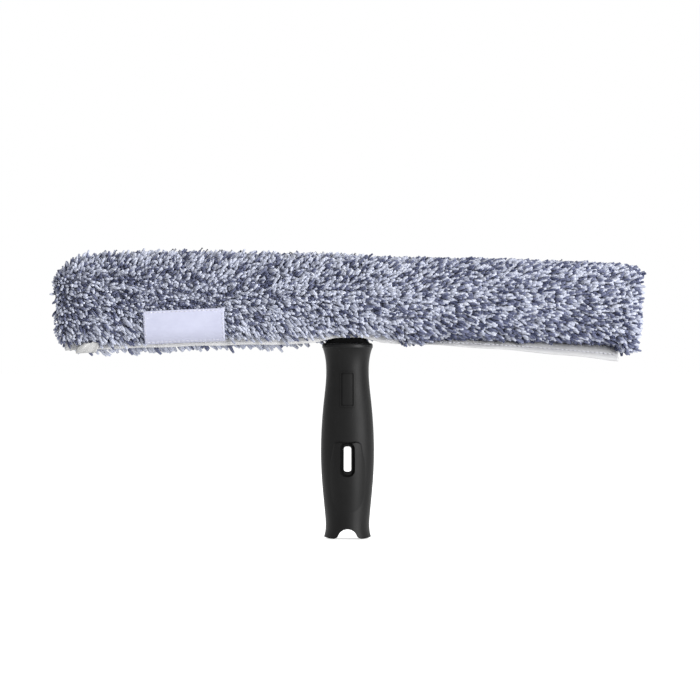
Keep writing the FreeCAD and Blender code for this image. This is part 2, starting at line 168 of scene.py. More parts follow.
# %% [markdown]
# The floor is a wide pale matt sheet, half a millimetre under the handle's foot. Its glow, which only the
# camera and reflections see, lifts it to white and leaves the soft shadow under the handle.

# %% Floor
FLOOR_SIDE = 40.0
FLOOR_GAP = 0.5 * MM
FLOOR_GREY = 0.86
FLOOR_GLOW = 0.64
floor_mesh = bpy.data.meshes.new("floor")
half = FLOOR_SIDE / 2
floor_z = FOOT_Z - FLOOR_GAP
floor_corners = [(x * half, y * half, floor_z) for x, y in ((-1, -1), (1, -1), (1, 1), (-1, 1))]
floor_mesh.from_pydata(floor_corners, [], [(0, 1, 2, 3)])
floor = bpy.data.objects.new("floor", floor_mesh)
bpy.context.collection.objects.link(floor)
floor_paper, floor_shader = new_finish("floor_paper", roughness=0.9, specular=0.0)
floor_shader.inputs["Base Color"].default_value = (FLOOR_GREY, FLOOR_GREY, FLOOR_GREY, 1)
floor_shader.inputs["Emission Color"].default_value = (1, 1, 1, 1)
floor_glow = maths("MULTIPLY", seen_directly(floor_shader), FLOOR_GLOW)
link(floor_glow, floor_shader.inputs["Emission Strength"])
floor_mesh.materials.append(floor_paper)
print("floor side in m:", FLOOR_SIDE)

# %% [markdown]
# A large soft lamp stands to the right, as the light on the grip shows. A low strip in front lights what the
# pile overhangs, and a lamp behind brightens the top. Area lamps keep every shadow soft.

# %% Lamps
LIT_POINT = np.array([0, 0, 0.12])


def soft_lamp(name, place, width, height, watts):
    """A rectangular lamp that faces the lit point."""
    data = bpy.data.lights.new(name, "AREA")
    data.shape = "RECTANGLE"
    data.size = width
    data.size_y = height
    data.energy = watts
    lamp = bpy.data.objects.new(name, data)
    bpy.context.collection.objects.link(lamp)
    lamp.location = place
    away = np.array(place) - LIT_POINT
    tilt = math.acos(away[2] / np.linalg.norm(away))
    lamp.rotation_euler = (tilt, 0, math.atan2(away[1], away[0]) + math.pi / 2)


soft_lamp("key_right", (1.9, -1.9, 1.1), width=1.3, height=1.3, watts=49)
soft_lamp("low_front", (2.6, -2.1, 0.14), width=1.9, height=0.36, watts=60)
soft_lamp("back_top", (0.3, 1.8, 1.9), width=1.4, height=1.4, watts=26)
print("lamps: 3")

# %% [markdown]
# Every finish below is made from the same few nodes: noise for the irregular, waves for weave, a mix
# for colour and a bump for relief. Small helpers keep each material short to read.

# %% Material helpers
CLOUD_RANGE = (0.3, 0.7)
# Painted shade in hollows: the occlusion values over which the sheen fades, and the share of it left in full
# shade.
PAINTED_SHADE_RANGE = (0.5, 0.96)
SHINE_IN_PAINTED_SHADE = 0.15


def object_place(shader, stretch=(1, 1, 1)):
    """The point in the object's own space, in metres, stretched along each axis."""
    nodes_here = shader.id_data.nodes
    where = nodes_here.new("ShaderNodeTexCoord")
    scale = nodes_here.new("ShaderNodeMapping")
    scale.inputs["Scale"].default_value = stretch
    link(where.outputs["Object"], scale.inputs["Vector"])
    return scale.outputs["Vector"]


def noise(place, per_metre, detail):
    """A cloudy value from 0 to 1."""
    node = place.id_data.nodes.new("ShaderNodeTexNoise")
    node.inputs["Scale"].default_value = per_metre
    node.inputs["Detail"].default_value = detail
    link(place, node.inputs["Vector"])
    return node.outputs["Fac"]


def spread(value, low, high, out_low, out_high):
    """Maps a value's useful range to another."""
    node = value.id_data.nodes.new("ShaderNodeMapRange")
    node.inputs["From Min"].default_value = low
    node.inputs["From Max"].default_value = high
    node.inputs["To Min"].default_value = out_low
    node.inputs["To Max"].default_value = out_high
    link(value, node.inputs["Value"])
    return node.outputs["Result"]


def between(share, colour_a, colour_b):
    """A colour between two, by a share. Each may be a value or another node's output."""
    node = share.id_data.nodes.new("ShaderNodeMix")
    node.data_type = "RGBA"
    link(share, node.inputs[0])
    for socket, colour in ((node.inputs[6], colour_a), (node.inputs[7], colour_b)):
        if isinstance(colour, tuple):
            socket.default_value = (*colour, 1)
        else:
            link(colour, socket)
    return node.outputs[2]


def relief(shader, height, strength, distance):
    """A bump on a shader, for a height from 0 to 1 and a distance in metres."""
    node = shader.id_data.nodes.new("ShaderNodeBump")
    node.inputs["Strength"].default_value = strength
    node.inputs["Distance"].default_value = distance
    link(height, node.inputs["Height"])
    link(node.outputs["Normal"], shader.inputs["Normal"])


def fine_grain(shader, place, per_metre, strength, distance):
    """A fine bumpy grain, as a mould or fibres leave it."""
    relief(shader, noise(place, per_metre, 2.0), strength, distance)


def cloudy_colour(shader, clouds, colours, useful=CLOUD_RANGE):
    """Lets the colour wander between a dark and a light one with a cloudy value."""
    share = spread(clouds, *useful, 0.0, 1.0)
    link(between(share, *colours), shader.inputs["Base Color"])


def cloudy_roughness(shader, clouds, low, high):
    """Lets the roughness wander with the same clouds."""
    link(spread(clouds, *CLOUD_RANGE, low, high), shader.inputs["Roughness"])


def paint_shade_in_hollows(shader, reach, specular):
    """Painted shade: lets the sheen fade in grooves and corners, where little light gets in."""
    hollow = shader.id_data.nodes.new("ShaderNodeAmbientOcclusion")
    hollow.inputs["Distance"].default_value = reach
    sheen = spread(hollow.outputs["AO"], *PAINTED_SHADE_RANGE, SHINE_IN_PAINTED_SHADE * specular, specular)
    link(sheen, shader.inputs["Specular IOR Level"])


# %% [markdown]
# The grip is a soft black rubber moulded over a hard core. It has a fine spark-eroded texture and a dull
# sheen, which shows the panel round the slot. Painted shade in the grooves fades that sheen and outlines
# the panel and the framed plate. Cloudy noise makes it a little greyer and duller where hands rub it.

# %% Rubber of the grip
RUBBER_SHINE = 0.16
grip_rubber, rubber = new_finish("grip_rubber", roughness=0.45, specular=RUBBER_SHINE)
rubber_place = object_place(rubber)
rubber_clouds = noise(rubber_place, per_metre=60, detail=4)
cloudy_colour(rubber, rubber_clouds, ((0.0035, 0.0035, 0.0036), (0.006, 0.006, 0.0061)))
cloudy_roughness(rubber, rubber_clouds, low=0.42, high=0.49)
fine_grain(rubber, rubber_place, per_metre=2600, strength=0.12, distance=0.1 * MM)
paint_shade_in_hollows(rubber, reach=2.0 * MM, specular=RUBBER_SHINE)
print("finish of the grip:", grip_rubber.name)

# %% [markdown]
# The hard core and the stem are satin nylon. Only the flange over the grip and the neck show, in the shade
# of the sleeve. The stem's copy has less sheen, as painted shade for the sleeve's shadow on the neck.

# %% Nylon of the core and the stem
def nylon_finish(name, specular):
    """Black nylon with faint clouds, a fine grain and painted shade that fades its sheen in hollows."""
    material, shader = new_finish(name, 0.4, specular)
    place = object_place(shader)
    clouds = noise(place, per_metre=90, detail=3)
    cloudy_colour(shader, clouds, ((0.004, 0.004, 0.0042), (0.007, 0.007, 0.0072)))
    fine_grain(shader, place, per_metre=1800, strength=0.15, distance=0.1 * MM)
    paint_shade_in_hollows(shader, 4.0 * MM, specular)
    return material


core_nylon = nylon_finish("core_nylon", specular=0.17)
# painted shade: the stem's nylon has less sheen than the core's, to darken the neck under the sleeve
stem_nylon_painted_shade = nylon_finish("stem_nylon_painted_shade", specular=0.06)
print("nylons:", core_nylon.name, stem_nylon_painted_shade.name)

# %% [markdown]
# Two plugs of plain black plastic close the ends of the bar. The left one shows in the sleeve's open mouth.

# %% Plastic of the end plugs
plug_plastic, plug = new_finish("plug_plastic", roughness=0.55, specular=0.35)
plug_place = object_place(plug)
plug_clouds = noise(plug_place, per_metre=150, detail=3)
cloudy_colour(plug, plug_clouds, ((0.020, 0.020, 0.022), (0.034, 0.034, 0.036)))
fine_grain(plug, plug_place, per_metre=1500, strength=0.2, distance=0.12 * MM)
print("finish of the plugs:", plug_plastic.name)

# %% [markdown]
# The bar is drawn aluminium tube, with die lines along its length and a dull grey oxide. The screws are
# plated steel. Metals keep a high metallic value, and their grain comes from noise, which is stretched
# along the bar.

# %% Metals
def metal_finish(name, roughness, stretch, per_metre, detail, colours):
    """A metal with a cloudy colour and a roughness between two values, its shader and its clouds."""
    material, shader = new_finish(name, roughness[0], 0.5)
    shader.inputs["Metallic"].default_value = 1.0
    clouds = noise(object_place(shader, stretch), per_metre, detail)
    cloudy_colour(shader, clouds, colours)
    cloudy_roughness(shader, clouds, *roughness)
    return material, shader, clouds


BAR_GREYS = ((0.33, 0.335, 0.34), (0.44, 0.445, 0.45))
SCREW_GREYS = ((0.32, 0.32, 0.33), (0.44, 0.44, 0.45))
bar_aluminium, bar_metal, bar_lines = metal_finish(
    "bar_aluminium", roughness=(0.4, 0.54), stretch=(6, 700, 700), per_metre=1, detail=3, colours=BAR_GREYS
)
relief(bar_metal, bar_lines, strength=0.2, distance=0.05 * MM)
screw_steel, _, _ = metal_finish(
    "screw_steel", roughness=(0.24, 0.4), stretch=(1, 1, 1), per_metre=900, detail=4, colours=SCREW_GREYS
)
print("metals:", bar_aluminium.name, screw_steel.name)

# %% [markdown]
# The hard parts already have their shapes, so dressing them only means putting a finish in each of their
# material slots. A table from part to finish keeps the choice in one place.

# %% Dress the hard parts
HARD_FINISHES = {
    "grip": grip_rubber,
    "handle_core": core_nylon,
    "stem": stem_nylon_painted_shade,
    "stem_screw": screw_steel,
    "stem_washer": screw_steel,
    "bar_screws": screw_steel,
    "crossbar": bar_aluminium,
    "end_plug_left": plug_plastic,
    "end_plug_right": plug_plastic,
}
for node_name, finish in HARD_FINISHES.items():
    for place in nodes[node_name].material_slots:
        place.material = finish
print("hard parts dressed:", len(HARD_FINISHES))

# %% [markdown]
# The sleeve's section is the bar's rounded rectangle grown outwards. Walking round it from the middle of
# the underside, towards the front first, gives every strand its root and its outward direction.

# %% Round the sleeve
BAR_DEPTH = 24 * MM
BAR_HEIGHT = 40 * MM
BAR_CORNER = 7 * MM
FLAT_DEPTH = BAR_DEPTH / 2 - BAR_CORNER
FLAT_HEIGHT = BAR_HEIGHT / 2 - BAR_CORNER


def girth(grow):
    """The way once round the section, grown by a distance."""
    return 4 * FLAT_DEPTH + 4 * FLAT_HEIGHT + 2 * math.pi * (BAR_CORNER + grow)


def corner_walk(walk, grow):
    """The middle of the corner that rounds the section, and the outward angle, a walk round it."""
    quarter = (BAR_CORNER + grow) * math.pi / 2
    runs = [FLAT_DEPTH, quarter, 2 * FLAT_HEIGHT, quarter, 2 * FLAT_DEPTH]
    runs += [quarter, 2 * FLAT_HEIGHT, quarter, FLAT_DEPTH]
    stops = np.concatenate([[0.0], np.cumsum(runs)])
    middle_depth = np.array([0, -1, -1, -1, -1, 1, 1, 1, 1, 0]) * FLAT_DEPTH
    middle_height = np.array([-1, -1, -1, 1, 1, 1, 1, -1, -1, -1]) * FLAT_HEIGHT
    angles = -np.radians([90, 90, 180, 180, 270, 270, 360, 360, 450, 450])
    depth = np.interp(walk, stops, middle_depth)
    height = np.interp(walk, stops, middle_height)
    return depth, height, np.interp(walk, stops, angles)


def skin(along, walk, walk_grow, grow):
    """Points on the section grown by a distance, for a walk measured on another growth."""
    depth, height, angle = corner_walk(walk, walk_grow)
    radius = BAR_CORNER + grow
    return on_bow(along, depth + radius * np.cos(angle), height + radius * np.sin(angle))


def walk_to_depth(depth, grow):
    """The walk from the middle of the underside to a depth on its rounded corner."""
    radius = BAR_CORNER + grow
    if depth <= FLAT_DEPTH:
        return depth
    return FLAT_DEPTH + radius * math.asin((depth - FLAT_DEPTH) / radius)


print("girth at the bar in mm:", round(girth(0) / MM, 1))

# %% [markdown]
# Meshes with tens of thousands of strands are slow to build face by face, so arrays are handed to
# Blender whole. The helper also keeps a value for each point, which the materials read back.

# %% Mesh helpers
def mesh_piece(name, points, faces, finish, values=None):
    """A smooth mesh from arrays of points and of faces, with named values for each point."""
    mesh = bpy.data.meshes.new(name)
    sizes = np.concatenate([np.full(len(group), len(group[0])) for group in faces])
    corners = np.concatenate([np.asarray(group).ravel() for group in faces])
    starts = np.concatenate([[0], np.cumsum(sizes)[:-1]])
    mesh.vertices.add(len(points))
    mesh.vertices.foreach_set("co", np.asarray(points, dtype=np.float32).ravel())
    mesh.loops.add(len(corners))
    mesh.loops.foreach_set("vertex_index", corners.astype(np.int32))
    mesh.polygons.add(len(sizes))
    mesh.polygons.foreach_set("loop_start", starts.astype(np.int32))
    mesh.polygons.foreach_set("use_smooth", np.ones(len(sizes), dtype=bool))
    mesh.update(calc_edges=True)
    for key, value in (values or {}).items():
        layer = mesh.attributes.new(key, "FLOAT", "POINT")
        layer.data.foreach_set("value", np.asarray(value, dtype=np.float32).ravel())
    mesh.materials.append(finish)
    piece = bpy.data.objects.new(name, mesh)
    bpy.context.collection.objects.link(piece)
    return piece


def grid_faces(rows, columns, close_columns=False):
    """Four-sided faces over a grid of points, whose rows may close on themselves."""
    row = np.arange(rows - 1)
    column = np.arange(columns if close_columns else columns - 1)
    r, c = np.meshgrid(row, column, indexing="ij")
    next_c = (c + 1) % columns
    corners = [r * columns + c, r * columns + next_c, (r + 1) * columns + next_c, (r + 1) * columns + c]
    return np.stack(corners, axis=-1).reshape(-1, 4)


def swept_piece(name, rings, finish):
    """A closed tube through rings of points, with a face over each end."""
    rows, columns = rings.shape[:2]
    sides = grid_faces(rows, columns, close_columns=True)
    first_end = np.arange(columns)[None, ::-1]
    last_end = np.arange(columns)[None] + (rows - 1) * columns
    return mesh_piece(name, rings.reshape(-1, 3), [sides, first_end, last_end], finish)


def sew_on(piece):
    """A piece of the sleeve: it moves with it."""
    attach(piece, "sleeve")
    return piece


# %% [markdown]
# The backing is a woven cloth sewn into a tube, open along a slit under its left half, where the handle's
# neck passes. It shows only inside the mouth and the slit. A plain weave is two wave textures
# that cross, so the cloth needs no unwrapping.

# %% Woven finishes
WAVE_SCALE = 2 * math.pi / 20  # of the wave texture, for one thread in a metre
WEAVE_RANGE = (0.0, 2.0)
PAINTED_SHADE_BETWEEN_THREADS = 0.9
YARN_RANGE = (0.35, 0.65)


def woven_finish(name, threads_per_metre, dark_colour, light_colour, roughness):
    """Cloth with threads along the bar and across it, painted shade between them, and a slightly uneven dye.
    """
    material, shader = new_finish(name, roughness, 0.12)
    shader.inputs["Sheen Weight"].default_value = 0.12
    place = object_place(shader)
    heights = []
    for direction in ("X", "Z"):
        thread = shader.id_data.nodes.new("ShaderNodeTexWave")
        thread.bands_direction = direction
        thread.inputs["Scale"].default_value = threads_per_metre * WAVE_SCALE
        thread.inputs["Distortion"].default_value = 0.6
        thread.inputs["Detail"].default_value = 1.0
        link(place, thread.inputs["Vector"])
        heights.append(thread.outputs["Fac"])
    weave = maths("ADD", *heights)
    dye_share = spread(noise(place, per_metre=160, detail=4), *CLOUD_RANGE, 0.0, 1.0)
    dyed = between(dye_share, dark_colour, light_colour)
    # painted shade: the low places of the weave, between the threads, are darker
    shade = tuple(PAINTED_SHADE_BETWEEN_THREADS * channel for channel in dark_colour)
    cloudy_colour(shader, weave, (shade, dyed), WEAVE_RANGE)
    relief(shader, weave, strength=0.35, distance=0.15 * MM)
    return material


def thread_finish(name, dark_colour, light_colour):
    """Sewing thread: a fine twist in a pale colour."""
    material, shader = new_finish(name, 0.7, 0.2)
    twist = noise(object_place(shader), per_metre=3000, detail=2)
    cloudy_colour(shader, twist, (dark_colour, light_colour), YARN_RANGE)
    relief(shader, twist, strength=0.4, distance=0.1 * MM)
    return material


backing_cloth = woven_finish("backing_cloth", 900, (0.60, 0.61, 0.66), (0.72, 0.73, 0.78), 0.9)
white_tape = woven_finish("white_tape", 1400, (0.75, 0.75, 0.755), (0.83, 0.83, 0.83), 0.85)
seam_cotton = woven_finish("seam_cotton", 1200, (0.57, 0.57, 0.58), (0.65, 0.65, 0.657), 0.85)
cream_tape = woven_finish("cream_tape", 1400, (0.58, 0.58, 0.575), (0.68, 0.68, 0.675), 0.9)
label_satin = woven_finish("label_satin", 2600, (0.58, 0.595, 0.75), (0.65, 0.67, 0.82), 0.6)
sewing_thread = thread_finish("sewing_thread", (0.60, 0.60, 0.66), (0.74, 0.74, 0.79))
print("woven finishes: 5, thread: 1")

# %% [markdown]
# The tube follows the bar's section a little outside it, and its wall is a millimetre thick. A flat sheet
# bent by a modifier would do too, but rings of points place the slit's edges exactly.

# %% Woven backing
SLIT_DEPTH = 11.4 * MM
SLIT_END = 40 * MM
SLIT_CLOSING = 8 * MM
SEAM_DEPTH = 1.6 * MM
MOUTH = -226 * MM
BACKING_END = 217.8 * MM
BACKING_INNER = 0.6 * MM
BACKING_OUTER = 1.7 * MM
BACKING_RINGS = 90
ROUND_STEPS = 96


def slit_half(along):
    """Half the slit's width: open for the neck on the left, drawn together in a seam on the right."""
    open_share = np.clip((SLIT_END + SLIT_CLOSING / 2 - along) / SLIT_CLOSING, 0, 1)
    return SEAM_DEPTH + (SLIT_DEPTH - SEAM_DEPTH) * open_share


def tube_rings(stations, inner_grow, outer_grow):
    """Rings round a slit tube: out from the slit's front edge to its back edge, and back inside."""
    rings = []
    for along in stations:
        sides = []
        for grow in (outer_grow, inner_grow):
            edge = walk_to_depth(float(slit_half(along)), grow)
            walk = np.linspace(edge, girth(grow) - edge, ROUND_STEPS)
            sides.append(skin(along, walk, grow, grow))
        rings.append(np.concatenate([sides[0], sides[1][::-1]]))
    return np.array(rings)


def tube_piece(name, rings, finish):
    """A slit tube with its wall, closed at both rims of the wall and open at its ends."""
    rows, columns = rings.shape[:2]
    near = np.arange(ROUND_STEPS - 1)
    rim = np.stack([near, columns - 1 - near, columns - 2 - near, near + 1], axis=-1)
    far_rim = rim[:, ::-1] + (rows - 1) * columns
    faces = [grid_faces(rows, columns, close_columns=True), rim, far_rim]
    return mesh_piece(name, rings.reshape(-1, 3), faces, finish)


backing_rings = tube_rings(np.linspace(MOUTH, BACKING_END, BACKING_RINGS), BACKING_INNER, BACKING_OUTER)
sleeve_cloth = sew_on(tube_piece("sleeve_cloth", backing_rings, backing_cloth))
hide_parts("sleeve_backing")
print("backing:", len(sleeve_cloth.data.polygons), "faces")

# %% [markdown]
# The pile is thickest at the left end and flatter on the right, where it has been combed over. How far its
# tips stand off the bar is written at places along the top, the front and the underside, and blended
# round the section. A sculpted mesh could hold the same form, but a few numbers are easier to change.

# %% Plumpness of the pile
def keys(pairs):
    """Places along the bar and values there, both in millimetres, as two arrays in metres."""
    table = np.array(pairs, dtype=float) * MM
    return table[:, 0], table[:, 1]


TOP_STAND = keys([
    (-229, -4), (-226, -2), (-224, 2), (-221, 6.2), (-218, 10.4), (-209, 16.2), (-200, 18.8), (-154, 18.2),
    (-76, 14.6), (-40, 12.8), (0, 12), (20, 10), (72, 9.6), (119, 10.4), (158, 10.8), (205, 11.8), (218, 11),
    (226, 7), (231, 0),
])
SIDE_STAND = keys([
    (-229, 2), (-226, 7), (-220, 12.5), (-206, 15), (-150, 15.2), (0, 14.6), (150, 14.6), (205, 14.8),
    (218, 13.2), (226, 7.5), (231, 1),
])
FRONT_FOOT = keys([
    (-229, 4), (-226, 8), (-220, 11), (-206, 13.2), (-192, 15), (-170, 15.6), (-160, 13.2), (-98, 13.2),
    (-90, 14.8), (-60, 15.6), (-36, 14.8), (-22, 12.6), (0, 10.4), (22, 11.4), (36, 13), (46, 18),
    (58, 17.5), (70, 13.5), (90, 12.4), (142, 11.4), (200, 10), (210, 11), (218, 18), (226, 15), (231, 4),
])
BACK_FOOT = keys([
    (-229, 4), (-226, 10), (-220, 17), (-206, 21.5), (-150, 24), (-108, 23), (-60, 24.5), (-42, 22.5),
    (-22, 17.5), (0, 15), (30, 14), (200, 13.5), (212, 14.5), (218, 16.5), (226, 10), (231, 1),
])
FOOT_FILL = 3.2 * MM
TOP_FILL = 0.3 * FOOT_FILL
FULL_SIDE = 12 * MM
FILL_FROM = 0.4


def plump(along, angle):
    """How far the tips stand off the bar, at a place along it and an outward angle."""
    up = np.sin(angle)
    level = np.cos(angle)
    foot = np.where(level < 0, np.interp(along, *FRONT_FOOT), np.interp(along, *BACK_FOOT))
    stand = np.where(up > 0, np.interp(along, *TOP_STAND), foot)
    side = np.interp(along, *SIDE_STAND)
    corner = np.where(up < 0, FOOT_FILL, TOP_FILL) * np.sin(2 * angle) ** 2
    corner = corner * np.clip(side / FULL_SIDE - FILL_FROM, 0, 1)
    return stand * up ** 2 + side * level ** 2 + corner


print("tips stand off the top by", round(float(plump(0.0, math.pi / 2)) / MM, 1), "mm at the middle")

# %% [markdown]
# The pile stands on a knitted ground that shows as a soft blue grey between the strands. It is the same slit
# tube again, as thick as the roots are deep. Noise at the size of a knitted loop gives it its colour and
# its relief, so that nothing flat shows where the strands part.

# %% Ground of the pile
REACH = keys([(-60, 5.4), (60, 4.2)])
WALK_GROW = 9.0 * MM
THINNEST_BED = 2.6 * MM
LEVEL_FOOT = 21.5 * MM
END_PANEL = 224.5 * MM
GROUND_FROM = MOUTH + 1 * MM
GROUND_INNER = BACKING_OUTER + 0.1 * MM
GROUND_RINGS = 150

ground_finish, ground = new_finish("pile_ground", roughness=0.95, specular=0.1)
ground_loops = noise(object_place(ground), per_metre=700, detail=3)
cloudy_colour(ground, ground_loops, ((0.16, 0.17, 0.25), (0.40, 0.42, 0.52)), YARN_RANGE)
relief(ground, ground_loops, strength=0.6, distance=0.6 * MM)


def reach_at(along, angle):
    """How far the strands stand over the ground. Those that hang behind the slit are longer."""
    hang = np.maximum(np.interp(along, *BACK_FOOT) - LEVEL_FOOT, 0) * np.sin(angle) ** 2
    below_back = (np.sin(angle) < 0) & (np.cos(angle) > 0)
    return np.interp(along, *REACH) + np.where(below_back, hang, 0)


def bed(along, angle):
    """How far the ground stands off the bar, under the strands."""
    return np.maximum(plump(along, angle) - reach_at(along, angle), THINNEST_BED)


ground_rings = []
for along in np.linspace(GROUND_FROM, END_PANEL, GROUND_RINGS):
    outer_edge = walk_to_depth(float(slit_half(along)), WALK_GROW)
    outer_walk = np.linspace(outer_edge, girth(WALK_GROW) - outer_edge, ROUND_STEPS)
    outer_angle = corner_walk(outer_walk, WALK_GROW)[2]
    inner_edge = walk_to_depth(float(slit_half(along)), BACKING_OUTER)
    inner_walk = np.linspace(inner_edge, girth(BACKING_OUTER) - inner_edge, ROUND_STEPS)
    outer_side = skin(along, outer_walk, WALK_GROW, bed(along, outer_angle))
    inner_side = skin(along, inner_walk, BACKING_OUTER, GROUND_INNER)
    ground_rings.append(np.concatenate([outer_side, inner_side[::-1]]))
pile_ground = sew_on(tube_piece("pile_ground", np.array(ground_rings), ground_finish))
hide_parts("pile_cover")
print("ground:", len(pile_ground.data.polygons), "faces")

# %% [markdown]
# The right end is closed by a rounded panel of the same knit, sewn in over the end of the bar. It is a stack
# of shrinking rings with a slight crown.

# %% Panel in the right end
PANEL_RINGS = 10
PANEL_STEPS = 72
PANEL_GROW = 2.4 * MM
PANEL_CROWN = 0.8 * MM
PANEL_HUB = 0.04
PANEL_INNER = BACKING_END + 0.5 * MM
panel_walk = np.linspace(0, girth(PANEL_GROW), PANEL_STEPS, endpoint=False)
panel_depth, panel_height, panel_angle = corner_walk(panel_walk, PANEL_GROW)
panel_depth = panel_depth + (BAR_CORNER + PANEL_GROW) * np.cos(panel_angle)
panel_height = panel_height + (BAR_CORNER + PANEL_GROW) * np.sin(panel_angle)
panel_rings = []
for share in np.linspace(PANEL_HUB, 1, PANEL_RINGS):
    crown = PANEL_CROWN * (1 - share ** 2)
    panel_rings.append(on_bow(END_PANEL + crown, share * panel_depth, share * panel_height))
for share in np.linspace(1, PANEL_HUB, PANEL_RINGS):
    panel_rings.append(on_bow(PANEL_INNER, share * panel_depth, share * panel_height))
end_panel = sew_on(swept_piece("pile_end_ground", np.array(panel_rings), ground_finish))
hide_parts("pile_end")
print("end panel:", len(end_panel.data.polygons), "faces")

# %% [markdown]
# Each tuft is a cut length of soft yarn, about 2 mm thick, with a blunt end. Hair particles could stand for
# it, but they don't become meshes that other programs read. A short bent tube with five sides is enough,
# because thousands of them overlap.

# %% Strand helper
STRAND_SIDES = 5
STRAND_TAPER = np.array([0.85, 1.0, 1.0, 0.72])
STRAND_STEPS = len(STRAND_TAPER)
NEARLY_UPRIGHT = 0.8


def unit(vectors):
    """The same directions, each of length one."""
    return vectors / np.linalg.norm(vectors, axis=-1, keepdims=True)


def strands(roots, start_ways, end_ways, lengths, radii):
    """Points, faces and the share along each strand, for bent strands with blunt ends."""
    count = len(roots)
    shares = np.linspace(0, 1, STRAND_STEPS)
    points = np.empty((count, STRAND_STEPS, STRAND_SIDES, 3))
    place = roots.copy()
    for step, share in enumerate(shares):
        way = unit(start_ways * (1 - share) + end_ways * share)
        if step:
            place = place + way * (lengths / (STRAND_STEPS - 1))[:, None]
        helper = np.where(np.abs(way[:, 2:3]) < NEARLY_UPRIGHT, [[0.0, 0.0, 1.0]], [[1.0, 0.0, 0.0]])
        across = unit(np.cross(way, helper))
        other = np.cross(way, across)
        for side in range(STRAND_SIDES):
            angle = 2 * math.pi * side / STRAND_SIDES
            off = across * math.cos(angle) + other * math.sin(angle)
            points[:, step, side] = place + off * (radii * STRAND_TAPER[step])[:, None]
    one = STRAND_STEPS * STRAND_SIDES
    first = np.arange(count) * one
    sides = grid_faces(STRAND_STEPS, STRAND_SIDES, close_columns=True)
    side_faces = (first[:, None, None] + sides[None]).reshape(-1, 4)
    tip_faces = first[:, None] + (np.arange(STRAND_SIDES) + one - STRAND_SIDES)[None]
    root_faces = first[:, None] + np.arange(STRAND_SIDES)[None, ::-1]
    along = np.broadcast_to(shares[None, :, None], (count, STRAND_STEPS, STRAND_SIDES))
    return points.reshape(-1, 3), [side_faces, tip_faces, root_faces], along.ravel()


print("points in a strand:", STRAND_STEPS * STRAND_SIDES)

# %% [markdown]
# The roots stand in staggered rows, as the knitting machine set them, each shaken a little out of place.
# A few sine waves in random directions give soft patches, which later bend, lengthen and colour
# neighbouring strands alike. Both draws have fixed seeds, so every run gives the same sleeve.

# %% Roots of the tufts
PITCH = 2.05 * MM
SHAKE = 0.45 * PITCH
SEAM_BARE = 2.6 * MM
EDGE_BARE = 0.6 * MM
WAVES = 7
WAVE_SPREAD = (0.7, 1.6)
WAVE_SUM = 3.0
chance = np.random.default_rng(4711)


def soft_waves(along, walk, size, seed):
    """A smooth random value from about -1 to 1 over the sleeve, in patches of a size."""
    draw = np.random.default_rng(seed)
    total = np.zeros(len(along))
    for _ in range(WAVES):
        heading = draw.uniform(0, math.pi)
        phase = draw.uniform(0, 2 * math.pi)
        wave = draw.uniform(*WAVE_SPREAD) * 2 * math.pi / size
        total += np.sin(wave * (along * math.cos(heading) + walk * math.sin(heading)) + phase)
    return total / WAVE_SUM


row_places = np.arange(MOUTH + EDGE_BARE, END_PANEL, PITCH)
column_places = np.arange(0, girth(WALK_GROW), PITCH)
root_along, root_walk = np.meshgrid(row_places, column_places, indexing="ij")
root_walk = root_walk + 0.5 * PITCH * (np.arange(len(row_places)) % 2)[:, None]
root_along = root_along.ravel() + chance.uniform(-SHAKE, SHAKE, root_along.size)
root_walk = root_walk.ravel() + chance.uniform(-SHAKE, SHAKE, root_walk.size)
from_seam = np.minimum(root_walk, girth(WALK_GROW) - root_walk)
open_edge = walk_to_depth(SLIT_DEPTH + EDGE_BARE, WALK_GROW)
on_cloth = from_seam > np.where(root_along < SLIT_END, open_edge, SEAM_BARE)
root_along = root_along[on_cloth]
root_walk = root_walk[on_cloth]
_, root_height, root_angle = corner_walk(root_walk, WALK_GROW)
roots = skin(root_along, root_walk, WALK_GROW, bed(root_along, root_angle))
print("tufts on the tube:", len(root_along))

# %% [markdown]
# The sewn-on label and the loose end of the tape press the pile flat. Strands there are cut to a share of
# their reach, so that none comes through the cloth. Such a field is given by two limits and a soft edge
# along the bar, in millimetres, and the same round it, in degrees: 90 is below, 180 the front, 270 the
# top and 360 the back. The last number is the share of the reach that is lost.

# %% Where the pile is pressed
PRESSED = [
    ((-212, -195, 3), (100, 152, 6), 0.5),
    ((-160, -94, 2), (110, 190, 6), 0.35),
]


def window(value, low, high, soft):
    """One between two limits, falling to zero over a soft edge on either side."""
    return np.clip((value - low) / soft, 0, 1) * np.clip((high - value) / soft, 0, 1)


def field(along, along_limits, way_round, round_limits):
    """One on a field of the sleeve and zero off it. Places along the bar are limited in millimetres."""
    return window(along / MM, *along_limits) * window(way_round, *round_limits)


def pressed(along, angle):
    """The share of their reach that strands keep under the loose tape end and under the label."""
    kept = np.ones(len(along))
    for along_limits, round_limits, lost in PRESSED:
        kept -= lost * field(along, along_limits, np.degrees(-angle), round_limits)
    return kept


label_middle = pressed(np.array([-127 * MM]), np.radians([-150.0]))
print("share of the reach under the label:", round(float(label_middle[0]), 2))

# %% [markdown]
# The sleeve has been combed to the right: the strands lie over that way, most of all on the right half. On
# the front and the back they hang a little in the lower half and stand up in the upper half. Each
# direction is mixed from the surface's normal, the combing direction and the way round the section, with
# soft patches and some chance on top. Wet yarn dries in clumps, so each strand also bends towards the
# middle of its own clump, and is longest there.

# %% Directions of the tufts
def key_values(pairs):
    """Places along the bar, given in millimetres, and plain values there, as two arrays."""
    table = np.array(pairs, dtype=float)
    return table[:, 0] * MM, table[:, 1]


